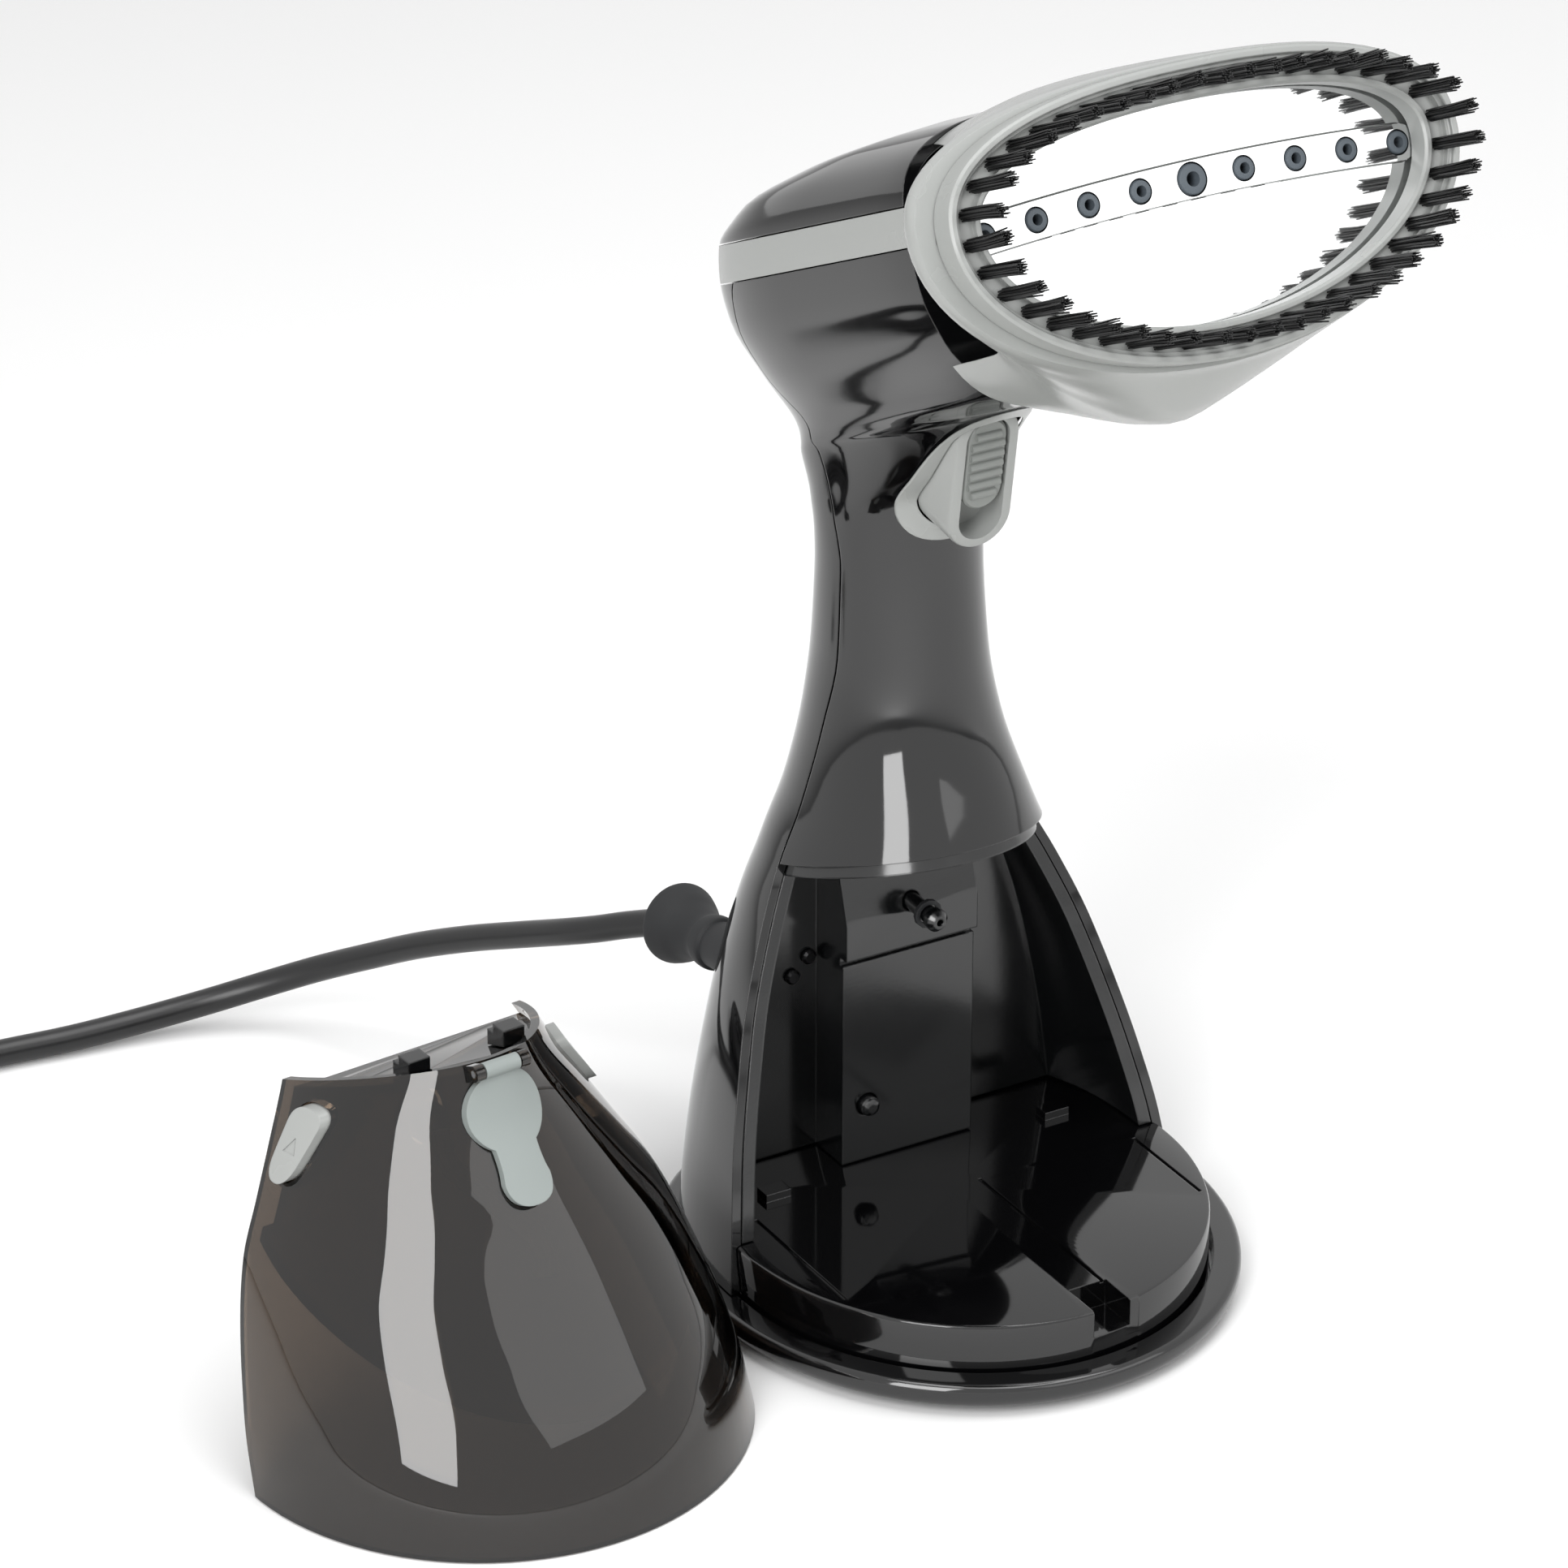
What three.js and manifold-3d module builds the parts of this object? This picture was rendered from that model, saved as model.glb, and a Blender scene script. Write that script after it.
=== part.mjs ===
// Upright garment steamer with a lift-out water tank, a removable bristle ring and a mains lead.
// Millimetres, +Z up. The origin is on the table under the body, and the steaming face looks towards -Y.
import * as THREE from 'three';
import { mergeVertices } from 'three/addons/utils/BufferGeometryUtils.js';
import Module from 'manifold-3d';

const wasm = await Module();
wasm.setup();

// Driving sizes. Every length is in millimetres.
const reach = 600; // overrun of every cut, longer than the whole object
const gap = 0.3; // clearance between pieces that are assembled face to face
const running = 0.4; // clearance around pieces that move
const wall = 2.2; // moulded casing
const seamGap = 0.6; // parting line between the casing shells, measured along Y

const body = { height: 200, halfWidth: 54.9, front: 57.9, back: 63 };
const neck = {
  faceRise: 74.1, collarShare: 0.4625, stepDrop: 25.5, spoutDrop: 15,
  triggerRise: 1.4, plateRise: 6, plateDrop: 34.6, screwShares: [0.59, 0.86],
};
const base = {
  halfWidth: 58.9, centre: 2.5, depth: 63.4, rimLow: 1.4, rimHeight: 7, rimWidth: 5.9, rimRound: 1.6, rimFoot: 3,
  grooveWidth: 1, plinthHeight: 17.4, plateThickness: 2,
  footRadius: 6.5, footThickness: 1.4, footX: 33, footY: 30,
  notchX: 3, notchWidth: 9, notchLength: 10, notchDepth: 6, ribDepth: 0.6, ribWidth: 0.8,
  ribs: [[-43, -24, 13], [6.5, -46, 4], [44, -24, 2]],
};
const head = {
  tilt: THREE.MathUtils.degToRad(25.2), faceY: 75.5, faceZ: body.height + neck.faceRise,
  halfWidth: 30, rear: 164.6, depth: 54, dome: 14.7, bandTop: 6, bandBottom: -1.6, joint: 59, frontEnd: 45,
};
const collarHeight = body.height * neck.collarShare;
const bay = {
  linerWall: 3, collarY: 25.6, collarZ: collarHeight, collarSlope: 0.305, lipDrop: 3,
  backWallY: 34, columnHalf: 16, columnFootY: 23, columnTopY: 21.5, stepHeight: collarHeight - neck.stepDrop,
  spoutHeight: collarHeight - neck.spoutDrop, spoutRadius: 1.9, spoutTip: 2.5, spoutLength: 11, spoutBore: 0.8, spoutFlange: 4,
  sealWidth: 1, buttonX: -10, buttonHeight: 31, buttonRadius: 2.2, buttonCollar: 2.7, buttonProud: 2.6, buttonTravel: 1.6,
  catchX: 34.6, catchY: 21.8, catchWidth: 6, catchDepth: 4, catchHeight: 1.8,
  screws: [[-22.2, 60], [-18.2, 63.8]], screwRadius: 1.7, screwLength: 6.6, switchWidth: 5, switchDepth: 4, switchHeight: 10,
};
const casing = { screwRadius: 2.6, screwLength: 9 };
const face = {
  plateThickness: 1.2, stripProud: 0.9, stripHalf: 3.6, stripEnd: 50, stripBow: 2.1, nozzlePitch: 11.44,
  nozzleRadius: 2.2, centreNozzleRadius: 3, nozzleProud: 0.9, nozzleBore: 0.8, nozzleMouth: 1.3,
  rootHalf: 51.8, rootTop: 17.6, rootBottom: 29.8, rootCentre: -1, topPower: 2.4, bottomPower: 1.95,
  plateMargin: 2.6, bezelThickness: 2.6, housingWall: 2.4, carrier: 1.6,
};
const ring = {
  inside: 3.1, outside: 4.1, floor: 5.3, ridge: 1.1, ridgeWidth: 1.6, seat: 0.3,
  slotHalf: 1.75, slotDepth: 1.3, pegRadius: 1.6, pegLength: 6, pegOut: 2,
};
const bristle = { tufts: 44, strands: 7, length: 14.5, radius: 0.3, tuftRadius: 1, tipRadius: 1.6, backing: 1 };
const steam = {
  blockHalf: 40, blockTop: 14, blockBottom: 24, blockDepth: 20, blockGap: 0.5, blockPower: 2.3, channelDepth: 3,
  thermostatRadius: 8, thermostatHeight: 6, terminalRadius: 2.2, terminalLength: 9, terminalX: 22,
  hoseRadius: 2.6,
};
const pump = { radius: 11, length: 30, clear: 4, mountThickness: 3, mountWall: 1.2, nozzleRadius: 2.4, nozzleLength: 6 };
const pumpTop = bay.buttonHeight + bay.switchHeight / 2 + pump.clear + pump.length;
const trigger = {
  lean: THREE.MathUtils.degToRad(8.5), topY: -6.8, topZ: body.height + neck.triggerRise, length: 33, half: 7.4, depth: 12, travel: 4,
  pinRadius: 1.2, pinInset: 6, slotHalf: 5, slotDepth: 4.5, slotTop: 3.2, slotBottom: 2.2,
  lockLength: 24, lockHalf: 4.6, lockProud: 0.9, lockTravel: 2.8, ribs: 5, ribProud: 0.7, ribWidth: 0.9,
  plateProud: 1.5, plateHalf: 11, plateTopHalf: 10,
  plateTop: body.height + neck.plateRise, plateBottom: body.height - neck.plateDrop,
  switchWidth: 10, switchDepth: 6, switchHeight: 12, switchArm: 1.5, springRadius: 2.4, springWire: 0.45, springTurns: 4,
};
const tankPlace = {
  apart: 1.1, frontRise: 11.5, capDrop: 10.5, hingeDrop: 1.7, buttonDrop: 19.4, latchRise: 2.834, latchShare: 0.204,
};
const tankCorner = bay.collarZ - base.plinthHeight - seamGap;
const tankTop = tankCorner + tankPlace.frontRise;
const tank = {
  x: -base.halfWidth - body.halfWidth - tankPlace.apart, y: 1.6, turn: THREE.MathUtils.degToRad(5),
  height: tankTop, cornerHeight: tankCorner, wall: 2, half: body.halfWidth, front: body.front,
  cutBottomY: -2, cutTopY: 26.1, reservoirFront: 18.5, reservoirCorner: 44, backInset: 2.4,
  buttonY: 14, buttonZ: tankTop - tankPlace.buttonDrop, buttonHalf: 4, buttonHeight: 14, buttonProud: 2, buttonTravel: 1.8, buttonInto: 3,
  capRadius: 8.6, capProud: 2.4, capHeight: tankTop - tankPlace.capDrop, hingeHeight: tankTop - tankPlace.hingeDrop,
  capTabHalf: 4, capStemRadius: 4.4, capStemTip: 2.2, capStemLength: 3, thumbDrop: 19.6, thumbHalf: 4.6, capPinRadius: 0.8, knuckleRadius: 1.7, lugWidth: 2,
  outletRadius: 4.4, outletBore: 2.3, outletLength: 7, outletLip: 1, tubeRadius: 2.2, filterRadius: 3.6, filterLength: 8,
  latchX: body.halfWidth * tankPlace.latchShare, latchY: 4.6, latchWidth: 5, latchDepth: 6, latchStep: 2,
};
const cord = {
  diameter: 6, sides: 8, guardRoot: 5.9, guardMouth: 8.9, guardWaist: 5.2, guardLength: 20, guardInside: 11.9, guardFlange: 7, flangeThickness: 1.8,
  exitX: -26.5, exitY: 55, exitZ: 58.2, dip: THREE.MathUtils.degToRad(9),
  clampX: -22, clampLength: 3, clampWidth: 18, clampHeight: 10.6,
  coilX: -206, coilY: 221.5, coilRadius: 36, coilPitch: 6.5, coilTurns: 3.5, coilSteps: 18, coilSides: 6, coilLayers: 2,
  coilStart: THREE.MathUtils.degToRad(-77), floor: 0.1, mouthShare: 0.66,
};
const plug = {
  neckLength: 18, neckTip: 5, neckRoot: 7, length: 34, half: 17, thickness: 15, power: 3, sides: 12,
  pinRadius: 2.4, pinLength: 19, pinPitch: 19, pinInto: 6,
};

// The object's main oval sections, from the foot of the skirt to the dome of the head. The columns are shares
// of the body's height and depth, of its half width, and of the section's own length from front to back.
const ringSegments = 24;
const skirtShares = [
  // front height, back height, front, back, half width, widest, seam, rear power
  [0, 0, 1.005, 1.003, 1.005, 0.5, 0.5, 2.4],
  [0.1, 0.1, 0.915, 0.992, 0.962, 0.511, 0.511, 2.35],
  [0.175, 0.175, 0.803, 0.976, 0.912, 0.525, 0.525, 2.3],
  [0.25, 0.25, 0.665, 0.952, 0.845, 0.537, 0.537, 2.25],
  [0.325, 0.325, 0.5, 0.921, 0.765, 0.547, 0.547, 2.2],
  [0.4, 0.4, 0.305, 0.897, 0.655, 0.545, 0.545, 2.1],
  [0.46, 0.46, 0.155, 0.865, 0.55, 0.545, 0.55, 2],
  [0.525, 0.525, 0.054, 0.825, 0.45, 0.51, 0.53, 2],
  [0.61, 0.61, -0.078, 0.786, 0.361, 0.49, 0.47, 2],
  [0.69, 0.68, -0.13, 0.768, 0.319, 0.495, 0.41, 2],
  [0.81, 0.74, -0.171, 0.751, 0.306, 0.49, 0.39, 2],
];
const headShares = [
  // level over the head's depth or dome, front and rear over its length, half width, widest, seam, powers
  [-1, 0.722, 0.977, 0.553, 0.543, 0.467, 2, 2],
  [-0.883, 0.655, 0.965, 0.563, 0.626, 0.57, 2, 2],
  [-0.713, 0.535, 0.953, 0.613, 0.67, 0.68, 2, 2.2],
  [-0.667, 0.41, 0.951, 0.64, 0.69, 0.77, 2.2, 2.2],
  [-0.574, 0.273, 0.952, 0.71, 0.67, 0.81, 3.5, 2.3],
  [-0.389, 0.273, 0.968, 0.883, 0.6, 0.85, 8, 2.5],
  [-0.18, 0.273, 0.995, 0.985, 0.569, 0.81, 8, 2.6],
  [-0.03, 0.273, 0.998, 0.996, 0.569, 0.766, 8, 2.6],
];
const domeShares = [
  // height over the dome's own, rear, half width, widest, powers
  [0, 0.984, 0.973, 0.569, 8, 2.6],
  [0.35, 0.945, 0.915, 0.5, 8, 2.6],
  [0.741, 0.79, 0.72, 0.51, 8, 2.6],
  [0.92, 0.6, 0.46, 0.76, 8, 2.6],
  [1, 0.5, 0.15, 0.8, 8, 2.6],
];

// The light housing between the barrel and the steaming face: sections along the head's own axis.
const housing = { mouth: 60.2, top: 23.4, chin: 45 };
const housingShares = [
  // place along the axis over the joint's distance, half width, top, bottom, top power, bottom power
  [0.02, 0.982, 0.93, 0.765, 2.45, 2],
  [-0.034, 1, 0.962, 0.782, 2.45, 2],
  [-0.12, 0.965, 0.978, 0.84, 2.35, 1.85],
  [-0.2, 0.91, 0.99, 0.895, 2.3, 1.75],
  [-0.3, 0.84, 0.997, 0.955, 2.25, 1.6],
  [-0.41, 0.765, 1, 0.99, 2.2, 1.55],
  [-0.56, 0.665, 0.992, 0.98, 2.2, 1.6],
  [-0.76, 0.56, 0.957, 0.91, 2.2, 1.7],
  [-1, 0.49, 0.893, 0.822, 2.2, 1.9],
];

// The tank's own sections, from its lower edge to the top, as shares of its height, half width and depth.
const tankShares = [
  // height, half width, front
  [0, 1, 1],
  [0.12, 0.985, 0.955],
  [0.25, 0.95, 0.87],
  [0.4, 0.895, 0.71],
  [0.52, 0.83, 0.57],
  [0.63, 0.73, 0.445],
  [0.74, 0.63, 0.315],
  [0.87, 0.515, 0.195],
  [1, 0.42, 0.137],
];

// The lead's free stretch, chosen by hand: out of its guard, down to the table and on to the coil.
const leadPoints = [
  [-26.5, 68.4, 56.1], [-26.7, 74.2, 55.1], [-28.9, 79.8, 53.3], [-32.6, 86.2, 50.8], [-36.9, 92.5, 48],
  [-40.9, 99.8, 45], [-45.3, 111, 40.3], [-51, 124.5, 34.6], [-57.3, 137.5, 28.5],
  [-63.8, 149, 22.2], [-71.5, 159.5, 16.2], [-81, 167.6, 11], [-93, 173.4, 7], [-108, 177, 4.6],
  [-124, 179.2, 3.5], [-140, 181.5, 3.2], [-156, 182.6, 3.1], [-170, 181, 3.1],
];

// The tail from the coil's top turn to the plug, chosen by hand.
const tailPoints = [
  [-217, 170.6, 9.2], [-228, 169.4, 8.3], [-240, 169.6, 7.7], [-252, 171, 7.5],
];

const colours = {
  blackGloss: 0x0b0b0c, blackSatin: 0x17181a, lightGrey: 0xb9bab6, midGrey: 0x8c8f8b, capGrey: 0x9da3a1,
  steel: 0xc9cbcc, nozzle: 0x5b636a, bristle: 0x0d0d0e, rubber: 0x1c1d1f, smoke: 0x3a322a, aluminium: 0xa5a8ab,
  copper: 0xb87a45, white: 0xd9dad6, spring: 0x9a9c9e,
};

// Closed meshes, joins and cuts.
function toSolid(geometry) {
  const bare = geometry.clone();
  bare.deleteAttribute('normal');
  bare.deleteAttribute('uv');
  const welded = mergeVertices(bare);
  const vertProperties = new Float32Array(welded.attributes.position.array);
  const triVerts = new Uint32Array(welded.index.array);
  return new wasm.Manifold(new wasm.Mesh({ numProp: 3, vertProperties, triVerts }));
}

function toGeometry(solid) {
  const mesh = solid.getMesh();
  const geometry = new THREE.BufferGeometry();
  geometry.setAttribute('position', new THREE.BufferAttribute(new Float32Array(mesh.vertProperties), 3));
  geometry.setIndex(new THREE.BufferAttribute(new Uint32Array(mesh.triVerts), 1));
  geometry.computeVertexNormals();
  return geometry;
}

function placed(geometry, matrix) {
  geometry.applyMatrix4(matrix);
  return toSolid(geometry);
}

// A closed skin through rings of equal point count. Its faces are turned outwards.
function loft(rings) {
  const count = rings[0].length;
  const points = rings.flat();
  const first = new THREE.Vector3();
  const last = new THREE.Vector3();
  for (const point of rings[0]) first.addScaledVector(point, 1 / count);
  for (const point of rings[rings.length - 1]) last.addScaledVector(point, 1 / count);
  points.push(first, last);
  const faces = [];
  for (let row = 0; row < rings.length - 1; row += 1) {
    for (let i = 0; i < count; i += 1) {
      const a = row * count + i;
      const b = row * count + ((i + 1) % count);
      faces.push(a, b, b + count, a, b + count, a + count);
    }
  }
  const end = (rings.length - 1) * count;
  for (let i = 0; i < count; i += 1) {
    const j = (i + 1) % count;
    faces.push(points.length - 2, j, i);
    faces.push(points.length - 1, end + i, end + j);
  }
  let volume = 0;
  for (let f = 0; f < faces.length; f += 3) {
    const [p, q, r] = [points[faces[f]], points[faces[f + 1]], points[faces[f + 2]]];
    volume += p.dot(new THREE.Vector3().crossVectors(q, r));
  }
  if (volume < 0) {
    for (let f = 0; f < faces.length; f += 3) [faces[f + 1], faces[f + 2]] = [faces[f + 2], faces[f + 1]];
  }
  const geometry = new THREE.BufferGeometry();
  geometry.setAttribute('position', new THREE.Float32BufferAttribute(points.flatMap((p) => p.toArray()), 3));
  geometry.setIndex(faces);
  return toSolid(geometry);
}

const identity = new THREE.Matrix4();
const headPlace = new THREE.Matrix4()
  .makeRotationX(-head.tilt)
  .setPosition(0, -head.faceY, head.faceZ);

// A point of the head from its own axes: across, forwards out of the face, and up the face.
function headPoint(across, forward, level) {
  return new THREE.Vector3(across, -forward, level).applyMatrix4(headPlace);
}

function box(lowX, lowY, lowZ, highX, highY, highZ, matrix = identity) {
  const geometry = new THREE.BoxGeometry(highX - lowX, highY - lowY, highZ - lowZ);
  geometry.translate((lowX + highX) / 2, (lowY + highY) / 2, (lowZ + highZ) / 2);
  return placed(geometry, matrix);
}

// Everything on the side of a plane that its normal points to.
function halfSpace(point, normal) {
  const geometry = new THREE.BoxGeometry(reach * 2, reach * 2, reach);
  geometry.translate(0, 0, reach / 2);
  const turn = new THREE.Quaternion().setFromUnitVectors(new THREE.Vector3(0, 0, 1), normal.clone().normalize());
  return placed(geometry, new THREE.Matrix4().makeRotationFromQuaternion(turn).setPosition(point));
}

// A round bar between two points.
function bar(from, to, radius, endRadius = radius, segments = 14) {
  const along = new THREE.Vector3().subVectors(to, from);
  const geometry = new THREE.CylinderGeometry(endRadius, radius, along.length(), segments);
  geometry.translate(0, along.length() / 2, 0);
  const turn = new THREE.Quaternion().setFromUnitVectors(new THREE.Vector3(0, 1, 0), along.clone().normalize());
  return placed(geometry, new THREE.Matrix4().makeRotationFromQuaternion(turn).setPosition(from));
}

// A turned piece: its profile holds pairs of radius and height, and its axis runs from a point along a direction.
function turned(profile, point, direction, segments = 16) {
  const geometry = new THREE.LatheGeometry(profile.map(([r, h]) => new THREE.Vector2(r, h)), segments);
  const turn = new THREE.Quaternion().setFromUnitVectors(new THREE.Vector3(0, 1, 0), direction.clone().normalize());
  geometry.applyMatrix4(new THREE.Matrix4().makeRotationFromQuaternion(turn).setPosition(point));
  return facedOut(geometry);
}

// A closed geometry with its faces turned outwards, whatever way its profile runs.
function facedOut(geometry) {
  const bare = geometry.clone();
  bare.deleteAttribute('normal');
  bare.deleteAttribute('uv');
  const welded = mergeVertices(bare);
  const kept = [];
  const index = welded.index.array;
  const position = welded.attributes.position;
  const corner = (i) => new THREE.Vector3().fromBufferAttribute(position, i);
  let volume = 0;
  for (let f = 0; f < index.length; f += 3) {
    const [a, b, c] = [index[f], index[f + 1], index[f + 2]];
    if (a === b || b === c || a === c) continue;
    kept.push([a, b, c]);
    volume += corner(a).dot(new THREE.Vector3().crossVectors(corner(b), corner(c)));
  }
  welded.setIndex(kept.flatMap(([a, b, c]) => (volume < 0 ? [a, c, b] : [a, b, c])));
  return toSolid(welded);
}

// A flat outline pushed straight out of its plane, placed by a matrix.
function extruded(shape, depth, matrix, curveSegments = 5) {
  return placed(new THREE.ExtrudeGeometry(shape, { depth, bevelEnabled: false, curveSegments }), matrix);
}

// A side view in Y and Z, pushed across in X.
function sidePrism(points, half = reach) {
  const shape = new THREE.Shape(points.map(([y, z]) => new THREE.Vector2(y, z)));
  const matrix = new THREE.Matrix4().makeBasis(
    new THREE.Vector3(0, 1, 0), new THREE.Vector3(0, 0, 1), new THREE.Vector3(1, 0, 0),
  ).setPosition(-half, 0, 0);
  return extruded(shape, 2 * half, matrix);
}

// A tube along a curve.
function tubeAlong(curve, radius, steps, sides = 8) {
  const section = new THREE.Shape();
  for (let i = 0; i < sides; i += 1) {
    const angle = ((i + 0.5) / sides) * 2 * Math.PI;
    const [u, v] = [radius * Math.cos(angle), radius * Math.sin(angle)];
    if (i === 0) section.moveTo(u, v);
    else section.lineTo(u, v);
  }
  section.closePath();
  return new THREE.ExtrudeGeometry(section, { extrudePath: curve, steps, bevelEnabled: false });
}

// A slot outline with round ends, standing along its second axis.
function slotShape(half, low, high) {
  const shape = new THREE.Shape();
  shape.absarc(0, high - half, half, 0, Math.PI, false);
  shape.absarc(0, low + half, half, Math.PI, 2 * Math.PI, false);
  shape.closePath();
  return shape;
}

const signedPower = (value, power) => Math.sign(value) * Math.abs(value) ** (2 / power);

// The body's skin.
function skirtStation([frontHeight, backHeight, front, back, half, widest, seam, rearPower]) {
  return {
    front: new THREE.Vector3(0, -front * body.front, frontHeight * body.height),
    back: new THREE.Vector3(0, back * body.back, backHeight * body.height),
    half: half * body.halfWidth, widest, seam, frontPower: 2, rearPower,
  };
}

function headStation([level, front, rear, half, widest, seam, frontPower, rearPower]) {
  const height = level * head.depth;
  return {
    front: headPoint(0, -front * head.rear, height),
    back: headPoint(0, -rear * head.rear, height),
    half: half * head.halfWidth, widest, seam, frontPower, rearPower,
  };
}

function domeStation([height, rear, half, widest, frontPower, rearPower], inset) {
  const level = head.bandTop + height * (head.dome - inset);
  return {
    front: headPoint(0, -head.frontEnd, level),
    back: headPoint(0, -rear * head.rear, level),
    half: half * head.halfWidth, widest, seam: widest, frontPower, rearPower,
  };
}

const lowerStations = [...skirtShares.map(skirtStation), ...headShares.map(headStation)];

function bodyRing(station, inset) {
  const along = new THREE.Vector3().subVectors(station.back, station.front);
  const length = along.length();
  along.normalize();
  const middle = station.front.clone().addScaledVector(along, station.widest * length);
  const points = [];
  for (let i = 0; i < ringSegments; i += 1) {
    const angle = ((i + 0.5) / ringSegments) * 2 * Math.PI;
    const rearSide = Math.sin(angle) > 0;
    const radius = (rearSide ? (1 - station.widest) * length : station.widest * length) - inset;
    const power = rearSide ? station.rearPower : station.frontPower;
    const across = Math.max(station.half - inset, station.half / 3) * signedPower(Math.cos(angle), power);
    const point = middle.clone().addScaledVector(along, radius * signedPower(Math.sin(angle), power));
    point.x = across;
    points.push(point);
  }
  return points;
}

function bodySkin(inset) {
  const stations = [...lowerStations, ...domeShares.map((row) => domeStation(row, inset))];
  return loft(stations.map((station) => bodyRing(station, inset)));
}

// Everything behind the parting line between the two casing shells, moved forwards by a clearance.
function behindSeam(clearance) {
  const line = lowerStations.map((station) => {
    const point = station.front.clone().lerp(station.back, station.seam);
    return [point.y - clearance, point.z];
  });
  const top = headPoint(0, -lowerStations.at(-1).seam * head.rear, reach);
  return sidePrism([[line[0][0], -reach], ...line, [line.at(-1)[0], top.z], [reach, top.z], [reach, -reach]]);
}

const headUp = new THREE.Vector3(0, Math.sin(head.tilt), Math.cos(head.tilt));
const headForward = new THREE.Vector3(0, -Math.cos(head.tilt), Math.sin(head.tilt));
const aboveLevel = (level) => halfSpace(headPoint(0, 0, level), headUp);
const belowLevel = (level) => halfSpace(headPoint(0, 0, level), headUp.clone().negate());
const behindPlace = (place) => halfSpace(headPoint(0, place, 0), headForward.clone().negate());
const upright = new THREE.Vector3(0, 0, 1);
const aboveHeight = (height) => halfSpace(new THREE.Vector3(0, 0, height), upright);
const belowHeight = (height) => halfSpace(new THREE.Vector3(0, 0, height), upright.clone().negate());
const collarNormal = new THREE.Vector3(0, bay.collarSlope, 1);
const aboveCollar = (offset) => halfSpace(new THREE.Vector3(0, bay.collarY, bay.collarZ + offset), collarNormal);
const belowCollar = (offset) => (
  halfSpace(new THREE.Vector3(0, bay.collarY, bay.collarZ + offset), collarNormal.clone().negate())
);

const outerSkin = bodySkin(0);
const innerSkin = bodySkin(wall);
const fitSkin = bodySkin(wall + gap);
const casingWall = outerSkin.subtract(innerSkin);
const insideFront = behindPlace(-head.joint - gap);

// The trigger's own axes: across, up along its face, and out of its face.
const triggerUp = new THREE.Vector3(0, -Math.sin(trigger.lean), Math.cos(trigger.lean));
const triggerOut = new THREE.Vector3(0, -Math.cos(trigger.lean), -Math.sin(trigger.lean));
const triggerTop = new THREE.Vector3(0, trigger.topY, trigger.topZ);
const triggerPlace = new THREE.Matrix4()
  .makeBasis(new THREE.Vector3(1, 0, 0), triggerUp, triggerOut)
  .setPosition(triggerTop);
const triggerPoint = (across, up, out) => new THREE.Vector3(across, up, out).applyMatrix4(triggerPlace);

function triggerSlab(shape, low, high) {
  const matrix = triggerPlace.clone().multiply(new THREE.Matrix4().makeTranslation(0, 0, low));
  return extruded(shape, high - low, matrix);
}

const triggerOutline = (extra) => slotShape(trigger.half + extra, -trigger.length - extra, extra);

// Cord axis where it leaves the skirt.
const cordOut = new THREE.Vector3(0, Math.cos(cord.dip), -Math.sin(cord.dip));
const cordExit = new THREE.Vector3(cord.exitX, cord.exitY, cord.exitZ);
const cordPlace = (distance) => cordExit.clone().addScaledVector(cordOut, distance);

// Base: an open ring below the skirt, a plinth that the tank stands on, and a flat bottom plate.
function baseRing(z, inset) {
  const points = [];
  const half = base.halfWidth - inset;
  const depth = base.depth - inset;
  for (let i = 0; i < ringSegments; i += 1) {
    const angle = ((i + 0.5) / ringSegments) * 2 * Math.PI;
    const power = Math.sin(angle) > 0 ? lowerStations[0].rearPower : 2;
    points.push(new THREE.Vector3(
      half * signedPower(Math.cos(angle), power), base.centre + depth * signedPower(Math.sin(angle), power), z,
    ));
  }
  return points;
}

const rimInset = base.rimWidth;
const plinthInset = base.rimWidth + base.grooveWidth;
const plinthFront = base.centre - base.depth + plinthInset;

function makeRim() {
  const round = base.rimRound;
  const foot = base.rimFoot;
  const outer = loft([
    baseRing(base.rimLow, foot), baseRing(base.rimLow + foot / 3, foot / 3), baseRing(base.rimLow + foot, 0),
    baseRing(base.rimHeight - round, 0), baseRing(base.rimHeight - round / 3, round / 3),
    baseRing(base.rimHeight, round),
  ]);
  return outer.subtract(loft([baseRing(-reach, rimInset), baseRing(reach, rimInset)]));
}

function makePlinth() {
  const insideRim = loft([
    baseRing(base.plateThickness + gap, plinthInset), baseRing(base.plinthHeight, plinthInset),
  ]);
  const hollow = loft([
    baseRing(-reach, plinthInset + wall), baseRing(base.plinthHeight - wall, plinthInset + wall),
  ]);
  const notch = box(
    base.notchX - base.notchWidth / 2, plinthFront - wall, base.plinthHeight - base.notchDepth,
    base.notchX + base.notchWidth / 2, plinthFront + base.notchLength, reach,
  );
  const notchCup = box(
    base.notchX - base.notchWidth / 2 - wall, plinthFront, base.plinthHeight - base.notchDepth - wall,
    base.notchX + base.notchWidth / 2 + wall, plinthFront + base.notchLength + wall, base.plinthHeight,
  ).intersect(insideRim);
  const behind = behindSeam(gap).subtract(fitSkin).intersect(aboveHeight(base.rimHeight));
  let plinth = insideRim.subtract(hollow).add(notchCup).subtract(notch).subtract(behind);
  for (const [x, front, back] of base.ribs) {
    plinth = plinth.subtract(box(
      x - base.ribWidth / 2, front, base.plinthHeight - base.ribDepth, x + base.ribWidth / 2, back, reach,
    ));
  }
  for (const side of [-1, 1]) {
    plinth = plinth.add(box(
      side * bay.catchX - bay.catchWidth / 2, bay.catchY - bay.catchDepth, base.plinthHeight - base.ribDepth,
      side * bay.catchX + bay.catchWidth / 2, bay.catchY, base.plinthHeight + bay.catchHeight,
    ));
  }
  return plinth;
}

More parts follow.
